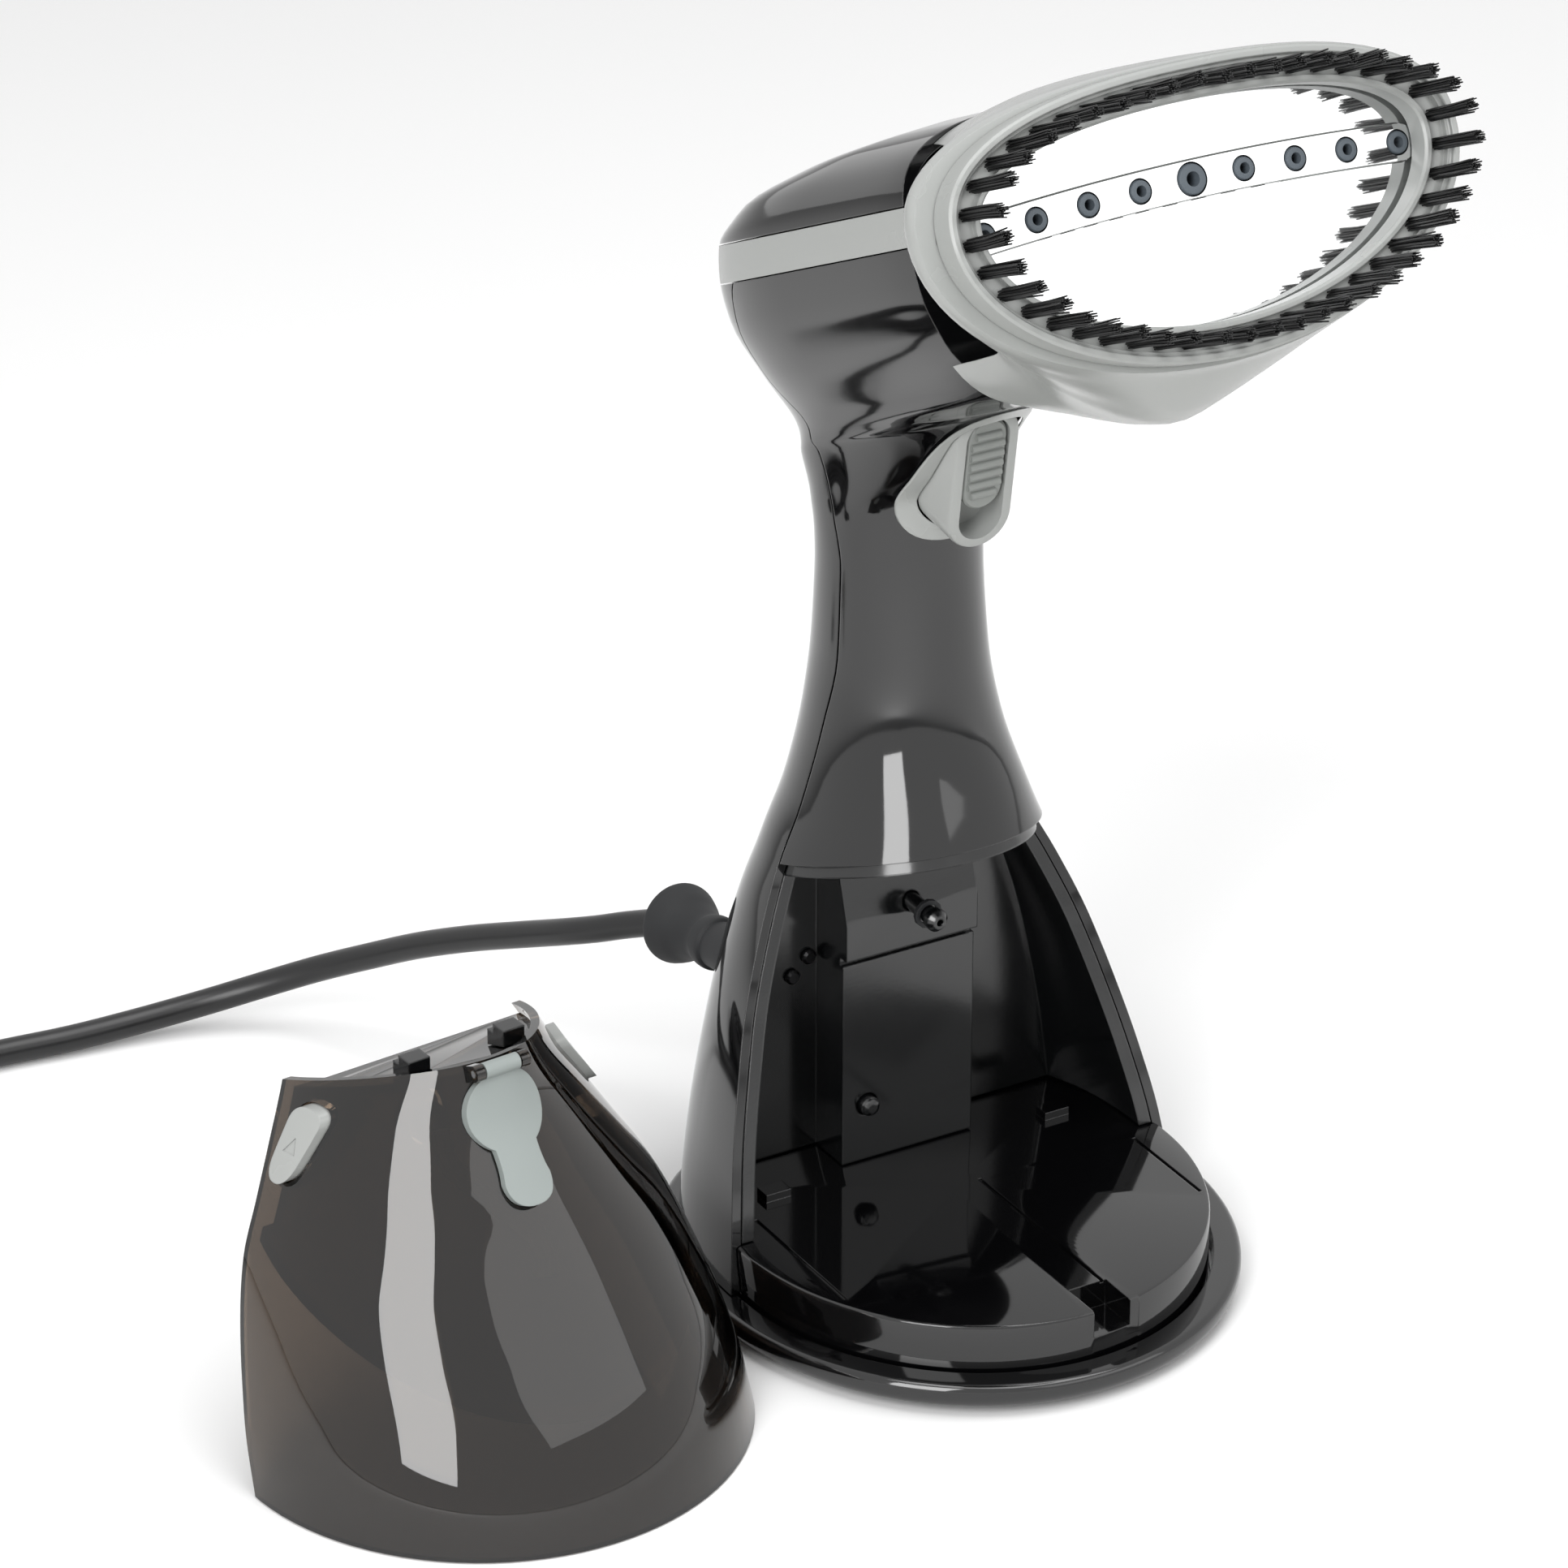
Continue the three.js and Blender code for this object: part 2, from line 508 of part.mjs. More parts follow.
function footPlaces() {
  return [[-1, -1], [1, -1], [-1, 1], [1, 1]].map(([x, y]) => new THREE.Vector3(x * base.footX, y * base.footY, 0));
}

function makeBasePlate() {
  let plate = loft([baseRing(0, rimInset + gap), baseRing(base.plateThickness, rimInset + gap)]);
  for (const place of footPlaces()) {
    const top = place.clone().setZ(base.footThickness + gap);
    plate = plate.subtract(bar(place.clone().setZ(-reach), top, base.footRadius + gap));
  }
  return plate;
}

function makeFoot(place) {
  return bar(place, place.clone().setZ(base.footThickness), base.footRadius);
}

// Casing: the rear shell with the skirt, and the front shell with the collar.
// The guard's way through the shell and the liner, with a flat seat for its flange inside.
function guardHole() {
  const inside = cordPlace(-cord.guardInside + gap);
  const room = cord.guardFlange + gap * 2;
  return bar(cordPlace(-cord.guardInside), cordPlace(reach / 8), cord.guardWaist + gap * 2)
    .add(bar(cordPlace(-cord.guardInside - reach / 40), inside, room));
}

function makeRearShell() {
  let shell = casingWall.intersect(behindSeam(0)).intersect(aboveHeight(base.rimHeight + gap));
  shell = shell.intersect(belowLevel(head.bandBottom - gap)).intersect(insideFront).subtract(guardHole());
  return shell.subtract(screwHoles(gap));
}

function makeFrontShell() {
  let shell = casingWall.subtract(behindSeam(seamGap)).intersect(aboveCollar(0));
  shell = shell.intersect(belowLevel(head.bandBottom - gap)).intersect(insideFront);
  return shell.subtract(triggerSlab(triggerOutline(running * 2), -reach / 4, reach / 4));
}

// The shell screws lie in the rear shell's wall, on the mid-plane.
function screwAxes() {
  return neck.screwShares.map((share) => new THREE.Vector3(0, 0, share * body.height));
}

function skinBackAt(height) {
  for (let i = 1; i < lowerStations.length; i += 1) {
    const [low, high] = [lowerStations[i - 1].back, lowerStations[i].back];
    if (height <= high.z && height >= low.z) {
      return low.y + ((height - low.z) / (high.z - low.z)) * (high.y - low.y);
    }
  }
  return lowerStations.at(-1).back.y;
}

const backwards = new THREE.Vector3(0, 1, 0);

function screwHoles(clearance) {
  return screwAxes().map(({ z }) => {
    const outside = new THREE.Vector3(0, skinBackAt(z) + wall, z);
    return bar(outside.clone().addScaledVector(backwards, -wall * 4), outside, casing.screwRadius + clearance);
  }).reduce((all, hole) => all.add(hole));
}

function makeCaseScrew({ z }) {
  const top = skinBackAt(z) - wall / 2;
  const r = casing.screwRadius;
  return turned([
    [0, -casing.screwLength], [r / 2, -casing.screwLength], [r / 2, -wall], [r, -wall], [r, -wall / 4],
    [r * 0.8, 0], [r / 2, 0], [r / 2, -wall / 4], [0, -wall / 4],
  ], new THREE.Vector3(0, top, z), backwards, 12);
}

function makeBand() {
  return casingWall.intersect(aboveLevel(head.bandBottom)).intersect(belowLevel(head.bandTop)).intersect(insideFront);
}

function makeTopCover() {
  return casingWall.intersect(aboveLevel(head.bandTop + gap)).intersect(insideFront);
}

// Bay: the liner with its column, in one moulding that closes the skirt towards the tank.
function bayFloor() {
  return base.plinthHeight + gap;
}

function columnBlock(inset) {
  const half = bay.columnHalf - inset;
  const shelf = bay.stepHeight;
  return sidePrism([
    [bay.columnFootY + inset, -reach / 4], [bay.columnFootY + inset, shelf],
    [bay.columnTopY + inset, shelf], [bay.columnTopY + inset, reach / 4],
    [reach / 4, reach / 4], [reach / 4, -reach / 4],
  ], half);
}

function makeLiner() {
  const deep = bodySkin(wall + gap + bay.linerWall);
  const region = behindSeam(0).intersect(belowCollar(0))
    .add(aboveCollar(-bay.lipDrop).intersect(belowCollar(bay.lipDrop)));
  const frontRoom = deep
    .subtract(halfSpace(new THREE.Vector3(0, bay.backWallY, 0), backwards))
    .subtract(columnBlock(0))
    .intersect(belowCollar(-bay.lipDrop - gap));
  const backRoom = halfSpace(new THREE.Vector3(0, bay.backWallY + bay.linerWall, 0), backwards)
    .add(columnBlock(bay.linerWall)).intersect(belowCollar(gap)).add(aboveCollar(0)).intersect(deep);
  let liner = fitSkin.intersect(region).intersect(aboveHeight(bayFloor())).subtract(frontRoom).subtract(backRoom);
  const spoutHole = bar(spoutPoint(-reach / 4), spoutPoint(reach / 4), bay.spoutRadius + gap);
  const buttonHole = bar(buttonPoint(-reach / 4), buttonPoint(reach / 4), bay.buttonRadius + running);
  liner = liner.subtract(spoutHole).subtract(buttonHole).subtract(guardHole());
  for (const screw of bay.screws) liner = liner.subtract(linerScrewHole(screw));
  return liner;
}

const forwards = new THREE.Vector3(0, -1, 0);
const columnFront = (height) => (height > bay.stepHeight ? bay.columnTopY : bay.columnFootY);
const spoutPoint = (out) => new THREE.Vector3(0, columnFront(bay.spoutHeight) - out, bay.spoutHeight);
const buttonPoint = (out) => new THREE.Vector3(bay.buttonX, columnFront(bay.buttonHeight) - out, bay.buttonHeight);

function linerScrewHole([x, z]) {
  const low = new THREE.Vector3(x, bay.backWallY - bay.linerWall, z);
  return bar(low, low.clone().addScaledVector(backwards, bay.linerWall * 4), bay.screwRadius / 2 + gap);
}

function makeLinerScrew([x, z]) {
  const r = bay.screwRadius;
  return turned([
    [0, -bay.screwLength], [r / 2, -bay.screwLength], [r / 2, gap], [r, gap], [r, r / 2], [r * 0.7, r * 0.8],
    [0, r * 0.8],
  ], new THREE.Vector3(x, bay.backWallY, z), forwards, 12);
}

function makeSpout() {
  const profile = [
    [bay.spoutBore, -bay.spoutFlange], [bay.spoutFlange, -bay.spoutFlange], [bay.spoutFlange, -bay.linerWall - gap],
    [bay.spoutRadius, -bay.linerWall - gap], [bay.spoutRadius, bay.spoutLength * 0.72],
    [bay.spoutTip, bay.spoutLength * 0.76], [bay.spoutTip, bay.spoutLength * 0.9],
    [bay.spoutRadius * 0.8, bay.spoutLength], [bay.spoutBore, bay.spoutLength], [bay.spoutBore, -bay.spoutFlange],
  ];
  return turned(profile, spoutPoint(0), forwards);
}

function makeSpoutSeal() {
  const inner = bay.spoutRadius + gap;
  const outer = inner + bay.sealWidth;
  const [low, high] = [bay.spoutLength / 2, bay.spoutLength / 2 + bay.sealWidth];
  return turned([[inner, low], [outer, low], [outer, high], [inner, high], [inner, low]], spoutPoint(0), forwards, 12);
}

function makeBayButton() {
  const r = bay.buttonRadius;
  return turned([
    [0, -bay.linerWall - bay.buttonTravel * 2], [bay.buttonCollar, -bay.linerWall - bay.buttonTravel * 2],
    [bay.buttonCollar, -bay.linerWall - gap],
    [r, -bay.linerWall - gap], [r, bay.buttonProud * 0.55], [r * 0.9, bay.buttonProud * 0.62],
    [r * 0.86, bay.buttonProud * 0.8], [r * 0.5, bay.buttonProud * 0.96], [0, bay.buttonProud],
  ], buttonPoint(0), forwards);
}

// The button works a small switch that tells the pump that the tank is in. It straddles the button's whole
// travel and seats on the back of the liner above and below it.
function makeTankSwitch() {
  const behind = bay.linerWall + bay.buttonTravel * 3 + gap;
  const low = buttonPoint(-behind - bay.switchDepth);
  const seat = buttonPoint(-bay.linerWall - gap);
  const half = bay.switchWidth / 2;
  const tall = bay.switchHeight / 2;
  const room = bay.buttonCollar + running;
  return box(low.x - half, seat.y, low.z - tall, low.x + half, low.y, low.z + tall).subtract(box(
    low.x - bay.switchWidth, seat.y - gap, low.z - room, low.x + bay.switchWidth, buttonPoint(-behind).y, low.z + room,
  ));
}

// Head: housing, soleplate, nozzles and the parts behind them.
function housingRing([place, half, top, bottom, topPower, bottomPower], inset, mouthPlace) {
  const points = [];
  const along = mouthPlace ?? place * head.joint;
  for (let i = 0; i < ringSegments; i += 1) {
    const angle = ((i + 0.5) / ringSegments) * 2 * Math.PI;
    const upper = Math.sin(angle) > 0;
    const tall = (upper ? top * housing.top : bottom * housing.chin) - inset;
    const power = upper ? topPower : bottomPower;
    const across = (half * housing.mouth - inset) * signedPower(Math.cos(angle), power);
    points.push(headPoint(across, along, tall * signedPower(Math.sin(angle), power)));
  }
  return points;
}

function faceOutline(extra) {
  return { half: face.rootHalf + extra, top: face.rootTop + extra, bottom: face.rootBottom + extra };
}

function facePoints(extra, count = ringSegments) {
  const { half, top, bottom } = faceOutline(extra);
  return Array.from({ length: count }, (unused, i) => {
    const angle = ((i + 0.5) / count) * 2 * Math.PI;
    const upper = Math.sin(angle) > 0;
    const power = upper ? face.topPower : face.bottomPower;
    const tall = upper ? top - face.rootCentre : bottom + face.rootCentre;
    return [
      half * signedPower(Math.cos(angle), power),
      face.rootCentre + tall * signedPower(Math.sin(angle), power),
    ];
  });
}

// A flat piece of the face between two depths, with the face's oval outline.
function faceSlab(extra, low, high, count) {
  const points = facePoints(extra, count);
  return loft([
    points.map(([x, w]) => headPoint(x, low, w)),
    points.map(([x, w]) => headPoint(x, high, w)),
  ]);
}

// A profile of offsets and depths, swept once round the face's outline.
function faceSweep(profile) {
  const loops = profile.map(([extra, forward]) => (
    facePoints(extra, ringSegments).map(([x, w]) => headPoint(x, forward, w))
  ));
  const faces = [];
  for (let k = 0; k < loops.length; k += 1) {
    for (let i = 0; i < ringSegments; i += 1) {
      const [a, b] = [k * ringSegments, ((k + 1) % loops.length) * ringSegments];
      const j = (i + 1) % ringSegments;
      faces.push(a + i, a + j, b + j, a + i, b + j, b + i);
    }
  }
  const geometry = new THREE.BufferGeometry();
  geometry.setAttribute('position', new THREE.Float32BufferAttribute(loops.flat().flatMap((p) => p.toArray()), 3));
  geometry.setIndex(faces);
  return facedOut(geometry);
}

function makeHousing() {
  const outer = loft(housingShares.map((row) => housingRing(row, 0)));
  const inner = loft([
    housingRing(housingShares[1], face.housingWall, -face.bezelThickness),
    ...housingShares.slice(2, -1).map((row) => housingRing(row, face.housingWall)),
    housingRing(housingShares.at(-1), face.housingWall, -head.joint - face.housingWall),
  ]);
  const mouth = faceSlab(-ring.inside + face.plateMargin + gap, -reach / 8, reach / 8);
  const frontFace = belowFaceSlab();
  let shell = outer.subtract(inner).subtract(mouth).subtract(frontFace);
  for (const side of [-1, 1]) shell = shell.subtract(pegHole(side));
  return shell;
}

function belowFaceSlab() {
  return halfSpace(headPoint(0, 0, 0), headForward);
}

function pegHole(side) {
  const at = side * (face.rootHalf + ring.pegOut);
  return bar(headPoint(at, -ring.pegLength - gap, face.rootCentre), headPoint(at, reach / 8, face.rootCentre),
    ring.pegRadius + running);
}

const nozzlePlaces = Array.from({ length: 9 }, (unused, i) => (i - 4) * face.nozzlePitch);
const stripLevel = (x) => -face.stripBow * (x / face.stripEnd) ** 2;

function stripShape(extra) {
  const shape = new THREE.Shape();
  const steps = 8;
  const end = face.stripEnd - face.stripHalf;
  const bow = (side) => Array.from({ length: steps + 1 }, (unused, i) => {
    const x = end * ((2 * i) / steps - 1);
    return new THREE.Vector2(side * x, stripLevel(x) - side * (face.stripHalf + extra));
  });
  const [lower, upper] = [bow(1), bow(-1)];
  const cap = (side) => Array.from({ length: 5 }, (unused, i) => {
    const angle = -Math.PI / 2 + ((i + 1) / 6) * Math.PI;
    const radius = face.stripHalf + extra;
    return new THREE.Vector2(side * (end + radius * Math.cos(angle)), stripLevel(end) + side * radius * Math.sin(angle));
  });
  shape.setFromPoints([...lower, ...cap(1), ...upper, ...cap(-1)]);
  return shape;
}

function faceMatrix(forward) {
  return headPlace.clone().multiply(new THREE.Matrix4().makeBasis(
    new THREE.Vector3(1, 0, 0), new THREE.Vector3(0, 0, 1), new THREE.Vector3(0, -1, 0),
  )).multiply(new THREE.Matrix4().makeTranslation(0, 0, forward));
}

function makeSoleplate() {
  const plate = faceSlab(-ring.inside + face.plateMargin, -face.plateThickness - face.stripProud, -face.stripProud);
  const strip = extruded(stripShape(0), face.stripProud + face.plateThickness / 2, faceMatrix(-face.stripProud - face.plateThickness / 2));
  let sole = plate.add(strip);
  for (const x of nozzlePlaces) {
    const radius = (x === 0 ? face.centreNozzleRadius : face.nozzleRadius) + gap;
    sole = sole.subtract(bar(
      headPoint(x, -reach / 8, stripLevel(x)), headPoint(x, reach / 8, stripLevel(x)), radius, radius, 10,
    ));
  }
  return sole;
}

// The nozzles are one moulding: a strip behind the plate carries all nine.
function makeNozzles() {
  const back = -face.plateThickness - face.stripProud - gap - face.carrier;
  const carrier = extruded(stripShape(-face.stripHalf / 3), face.carrier, faceMatrix(back));
  let strip = carrier;
  for (const x of nozzlePlaces) {
    const radius = x === 0 ? face.centreNozzleRadius : face.nozzleRadius;
    const tip = headPoint(x, face.nozzleProud / 2, stripLevel(x));
    const root = headPoint(x, back + face.carrier / 2, stripLevel(x));
    strip = strip.add(bar(root, tip, radius, radius, 10))
      .subtract(bar(headPoint(x, back - gap, stripLevel(x)), tip.clone().addScaledVector(headForward, gap),
        face.nozzleBore, face.nozzleMouth, 6));
  }
  return strip;
}

const blockFront = -face.plateThickness - face.stripProud - gap;
const blockBack = blockFront - steam.blockDepth;

function makeSteamBlock() {
  const scale = { half: steam.blockHalf, top: steam.blockTop, bottom: steam.blockBottom };
  const outline = (forward, inset) => Array.from({ length: ringSegments }, (unused, i) => {
    const angle = ((i + 0.5) / ringSegments) * 2 * Math.PI;
    const tall = Math.sin(angle) > 0 ? scale.top : scale.bottom;
    return headPoint(
      (scale.half - inset) * signedPower(Math.cos(angle), steam.blockPower),
      forward, (tall - inset) * signedPower(Math.sin(angle), steam.blockPower),
    );
  });
  const taper = steam.blockDepth / 2;
  const block = loft([
    outline(blockFront, 0), outline(blockFront - taper, steam.blockGap), outline(blockFront - steam.blockDepth, taper),
  ]);
  const manifoldSlot = extruded(stripShape(gap), steam.channelDepth + gap, faceMatrix(blockFront - steam.channelDepth));
  const terminals = [-1, 1].map((side) => bar(
    headPoint(side * steam.terminalX, blockBack + taper, 0),
    headPoint(side * steam.terminalX, blockBack - steam.terminalLength, 0), steam.terminalRadius, steam.terminalRadius, 12,
  ));
  return block.subtract(manifoldSlot).add(terminals[0]).add(terminals[1]);
}

function makeThermostat() {
  const at = headPoint(0, blockBack - gap, -face.stripHalf * 2);
  const back = headForward.clone().negate();
  return turned([
    [0, 0], [steam.thermostatRadius, 0], [steam.thermostatRadius, steam.thermostatHeight / 2],
    [steam.thermostatRadius * 0.8, steam.thermostatHeight], [0, steam.thermostatHeight],
  ], at, back);
}

// Pump in the column, and the hose from it up the handle to the steam block.
const pumpFoot = bay.columnFootY + bay.linerWall + gap;

function pumpAxis() {
  return new THREE.Vector3(0, pumpFoot + pump.radius + pump.mountWall + gap, 0);
}

function makePump() {
  const axis = pumpAxis();
  const low = axis.clone().setZ(pumpTop - pump.length);
  return bar(low, axis.clone().setZ(pumpTop), pump.radius)
    .add(bar(axis.clone().setZ(pumpTop - pump.radius), axis.clone().setZ(pumpTop + pump.nozzleLength), pump.nozzleRadius));
}

function makePumpCradle() {
  const axis = pumpAxis();
  const half = pump.radius + pump.mountWall + gap;
  const cradle = [pumpTop - pump.length + half / 2, pumpTop - half / 2].map((z) => box(
    -half, pumpFoot, z - pump.mountThickness / 2, half, axis.y + pump.radius / 2, z + pump.mountThickness / 2,
  )).reduce((all, piece) => all.add(piece));
  const spine = box(-half, pumpFoot, pumpTop - pump.length + half / 2, half, pumpFoot + pump.mountWall, pumpTop - half / 2);
  return cradle.add(spine).subtract(bar(axis.clone().setZ(-reach), axis.clone().setZ(reach), pump.radius + gap));
}
function makeWaterHose() {
  const axis = pumpAxis();
  const start = axis.clone().setZ(pumpTop + pump.nozzleLength + gap);
  const middle = (station) => station.front.clone().lerp(station.back, 0.66);
  const neck = lowerStations.slice(8, 12).map(middle);
  const end = headPoint(0, blockBack - gap - steam.hoseRadius, steam.blockTop / 2);
  const curve = new THREE.CatmullRomCurve3([
    start, start.clone().setZ(start.z + steam.hoseRadius * 3), ...neck,
    headPoint(0, -head.rear * 0.68, -head.depth / 3), headPoint(0, -head.joint - steam.blockDepth, 0),
    headPoint(0, blockBack - steam.blockDepth / 2, steam.blockTop / 2), end,
  ], false, 'centripetal');
  return toSolid(tubeAlong(curve, steam.hoseRadius, 20, 6));
}

// Trigger group on the neck's front.
function plateShape() {
  const shape = new THREE.Shape();
  const wide = trigger.plateHalf;
  const narrow = trigger.plateTopHalf;
  const top = (trigger.plateTop - trigger.topZ) / Math.cos(trigger.lean);
  const low = (trigger.plateBottom - trigger.topZ) / Math.cos(trigger.lean);
  const [third, last] = [top + (low - top) * 0.35, top + (low - top) * 0.8];
  shape.moveTo(0, top);
  shape.bezierCurveTo(narrow, top, wide * 0.9, third, wide, (third + last) / 2);
  shape.bezierCurveTo(wide * 1.06, last, wide * 0.9, low, 0, low);
  shape.bezierCurveTo(-wide * 0.9, low, -wide * 1.06, last, -wide, (third + last) / 2);
  shape.bezierCurveTo(-wide * 0.9, third, -narrow, top, 0, top);
  return shape;
}

function makeTriggerPlate() {
  const patch = bodySkin(-trigger.plateProud - gap).subtract(bodySkin(-gap * 3.5));
  return triggerSlab(plateShape(), -trigger.half * 2, reach / 8).intersect(patch)
    .subtract(triggerSlab(triggerOutline(running), -reach / 4, reach / 4))
    .intersect(belowLevel(head.bandBottom - gap));
}

function makeTrigger() {
  const block = triggerSlab(triggerOutline(0), -trigger.depth, 0);
  const slot = slotShape(trigger.slotHalf, -trigger.length + trigger.slotBottom, -trigger.slotTop);
  let piece = block.subtract(triggerSlab(slot, -trigger.slotDepth, reach / 8));
  piece = piece.subtract(bar(
    triggerPoint(-reach / 8, -trigger.pinInset, -trigger.depth + trigger.pinInset / 2),
    triggerPoint(reach / 8, -trigger.pinInset, -trigger.depth + trigger.pinInset / 2), trigger.pinRadius + running,
  ));
  return piece;
}

function makeTriggerPin() {
  const out = -trigger.depth + trigger.pinInset / 2;
  const half = trigger.half + running * 4;
  return bar(triggerPoint(-half, -trigger.pinInset, out), triggerPoint(half, -trigger.pinInset, out), trigger.pinRadius);
}

function makeSteamLock() {
  const top = -trigger.slotTop - gap;
  const shape = slotShape(trigger.lockHalf, top - trigger.lockLength, top);
  let lock = triggerSlab(shape, -trigger.slotDepth + gap, trigger.lockProud - trigger.ribProud);
  const inner = trigger.lockLength - 2 * trigger.lockHalf;
  for (let i = 0; i < trigger.ribs; i += 1) {
    const at = top - trigger.lockHalf - (inner * i) / (trigger.ribs - 1);
    const rib = new THREE.Shape();
    const half = trigger.lockHalf * 0.82;
    rib.moveTo(-half, at - trigger.ribWidth / 2);
    rib.lineTo(half, at - trigger.ribWidth / 2);
    rib.lineTo(half, at + trigger.ribWidth / 2);
    rib.lineTo(-half, at + trigger.ribWidth / 2);
    lock = lock.add(triggerSlab(rib, -trigger.ribProud, trigger.lockProud));
  }
  return lock;
}

// Two arms hold the switch against the rear shell, one on each side of the hose.
function makeSwitch() {
  const half = trigger.switchWidth / 2;
  const centre = -trigger.length * 0.52;
  const out = -trigger.depth - trigger.travel;
  const arm = trigger.switchArm;
  const arms = [-half, half - arm].map((low) => (
    box(low, centre - arm, -reach / 8, low + arm, centre + arm, out - arm, triggerPlace)
  )).reduce((all, piece) => all.add(piece)).intersect(fitSkin);
  return box(-half, centre - trigger.switchHeight / 2, out - trigger.switchDepth,
    half, centre + trigger.switchHeight / 2, out, triggerPlace)
    .add(box(-half / 3, centre - half / 2, out - gap, half / 3, centre + half / 2, out + trigger.travel / 5, triggerPlace))
    .add(arms);
}

function springTube(from, direction, length, radius, wire, turns) {
  const turn = new THREE.Quaternion().setFromUnitVectors(new THREE.Vector3(0, 0, 1), direction);
  class Helix extends THREE.Curve {
    getPoint(t, target = new THREE.Vector3()) {
      const angle = t * turns * 2 * Math.PI;
      target.set(radius * Math.cos(angle), radius * Math.sin(angle), wire + t * (length - 2 * wire));
      return target.applyQuaternion(turn).add(from);
    }
  }
  return toSolid(tubeAlong(new Helix(), wire, turns * 9, 4));
}

function makeTriggerSpring() {
  const centre = -trigger.length * 0.87;
  const from = triggerPoint(0, centre, -trigger.depth - gap - trigger.travel);
  return springTube(from, triggerOut, trigger.travel, trigger.springRadius, trigger.springWire, trigger.springTurns);
}

// Bristle ring: a clip-on tray with tufts.
function makeBrushRing() {
  const { inside, outside, floor, ridge, ridgeWidth, seat, slotHalf, slotDepth } = ring;
  const profile = [
    [-inside, seat], [outside, seat], [outside, floor + ridge], [outside - ridgeWidth, floor + ridge],
    [outside - ridgeWidth, floor], [slotHalf, floor], [slotHalf, floor - slotDepth], [-slotHalf, floor - slotDepth],
    [-slotHalf, floor], [-inside, floor],
  ];
  let tray = faceSweep(profile);
  for (const side of [-1, 1]) {
    const at = side * (face.rootHalf + ring.pegOut);
    tray = tray.add(bar(headPoint(at, -ring.pegLength, face.rootCentre),
      headPoint(at, ring.floor / 2, face.rootCentre), ring.pegRadius));
  }
  return tray;
}

// Where a share of a stretch's length lies, counted in the outline's segments.
function tuftPlace(loop, start, count, share) {
  const lengths = [0];
  for (let i = 0; i < count; i += 1) {
    const [a, b] = [loop[(start + i) % ringSegments], loop[(start + i + 1) % ringSegments]];
    lengths.push(lengths[i] + Math.hypot(b[0] - a[0], b[1] - a[1]));
  }
  const goal = share * lengths[count];
  const i = Math.max(lengths.findIndex((value) => value > goal) - 1, 0);
  return i + (goal - lengths[i]) / (lengths[i + 1] - lengths[i]);
}

// Bristles stand in tufts along the tray's slot: one of four stretches, with the slice of backing that holds it.
function makeBristles(part, parts) {
  const half = ring.slotHalf - gap;
  const low = ring.floor - ring.slotDepth + gap;
  const high = low + bristle.backing;
  const [inner, middle, outer] = [-half, 0, half].map((extra) => facePoints(extra));
  const count = ringSegments / parts;
  const pick = (loop, place) => {
    const i = Math.floor(place);
    const [a, b] = [loop[i % ringSegments], loop[(i + 1) % ringSegments]];
    return a.map((value, axis) => value + (b[axis] - value) * (place - i));
  };
  const start = part * count;
  const trim = (gap * count) / face.rootHalf;
  const places = Array.from({ length: count + 1 }, (unused, i) => start + i);
  places[0] += trim;
  places[count] -= trim;
  const rings = places.map((place) => {
    const [near, far] = [pick(inner, place), pick(outer, place)];
    return [
      headPoint(near[0], low, near[1]), headPoint(far[0], low, far[1]),
      headPoint(far[0], high, far[1]), headPoint(near[0], high, near[1]),
    ];
  });
  const at = (share) => new THREE.Vector2(...pick(middle, start + tuftPlace(middle, start, count, share)));
  const positions = [];
  const faces = [];
  const perPart = bristle.tufts / parts;
  for (let tuft = 0; tuft < perPart; tuft += 1) {
    const centre = at((tuft + 0.5) / perPart);
    for (let strand = 0; strand < bristle.strands; strand += 1) {
      const angle = strand * 2.399963;
      const radius = bristle.tuftRadius * Math.sqrt((strand + 0.3) / bristle.strands);
      const [dx, dw] = [radius * Math.cos(angle), radius * Math.sin(angle)];
      const length = bristle.length * (1 - 0.06 * ((strand * 7 + tuft * 3) % 4));
      const spread = bristle.tipRadius / bristle.tuftRadius - 1;
      const first = positions.length / 3;
      for (const [along, grow] of [[low + bristle.backing / 2, 0], [ring.floor + length, spread]]) {
        for (let corner = 0; corner < 3; corner += 1) {
          const turn = angle + (corner / 3) * 2 * Math.PI;
          const thin = grow > 0 ? bristle.radius * 0.7 : bristle.radius;
          const point = headPoint(
            centre.x + dx * (1 + grow) + thin * Math.cos(turn), along, centre.y + dw * (1 + grow) + thin * Math.sin(turn),
          );
          positions.push(...point.toArray());
        }
      }
      const [a, b, c, d, e, f] = [0, 1, 2, 3, 4, 5].map((k) => first + k);
      faces.push(a, c, b, d, e, f, a, b, e, a, e, d, b, c, f, b, f, e, c, a, d, c, d, f);
    }
  }
  const geometry = new THREE.BufferGeometry();
  geometry.setAttribute('position', new THREE.Float32BufferAttribute(positions, 3));
  geometry.setIndex(faces);
  return loft(rings).add(facedOut(geometry));
}

// Tank: smoked shell, inner reservoir wall, filler cap, release buttons and its outlet.
const cutSlope = (tank.cutTopY - tank.cutBottomY) / tank.cornerHeight;
const cutY = (z) => tank.cutBottomY + cutSlope * z;

function tankRing([height, half, front], inset, lift = 0) {
  const z = height * tank.height + lift;
  const middle = cutY(z);
  const across = half * tank.half - inset;
  const deep = middle + front * tank.front - inset;
  return Array.from({ length: ringSegments }, (unused, i) => {
    const angle = ((i + 0.5) / ringSegments) * 2 * Math.PI;
    return new THREE.Vector3(across * Math.cos(angle), middle + deep * Math.sin(angle), z);
  });
}

function tankSkin(inset) {
  return loft(tankShares.map((row) => tankRing(row, inset)));
}

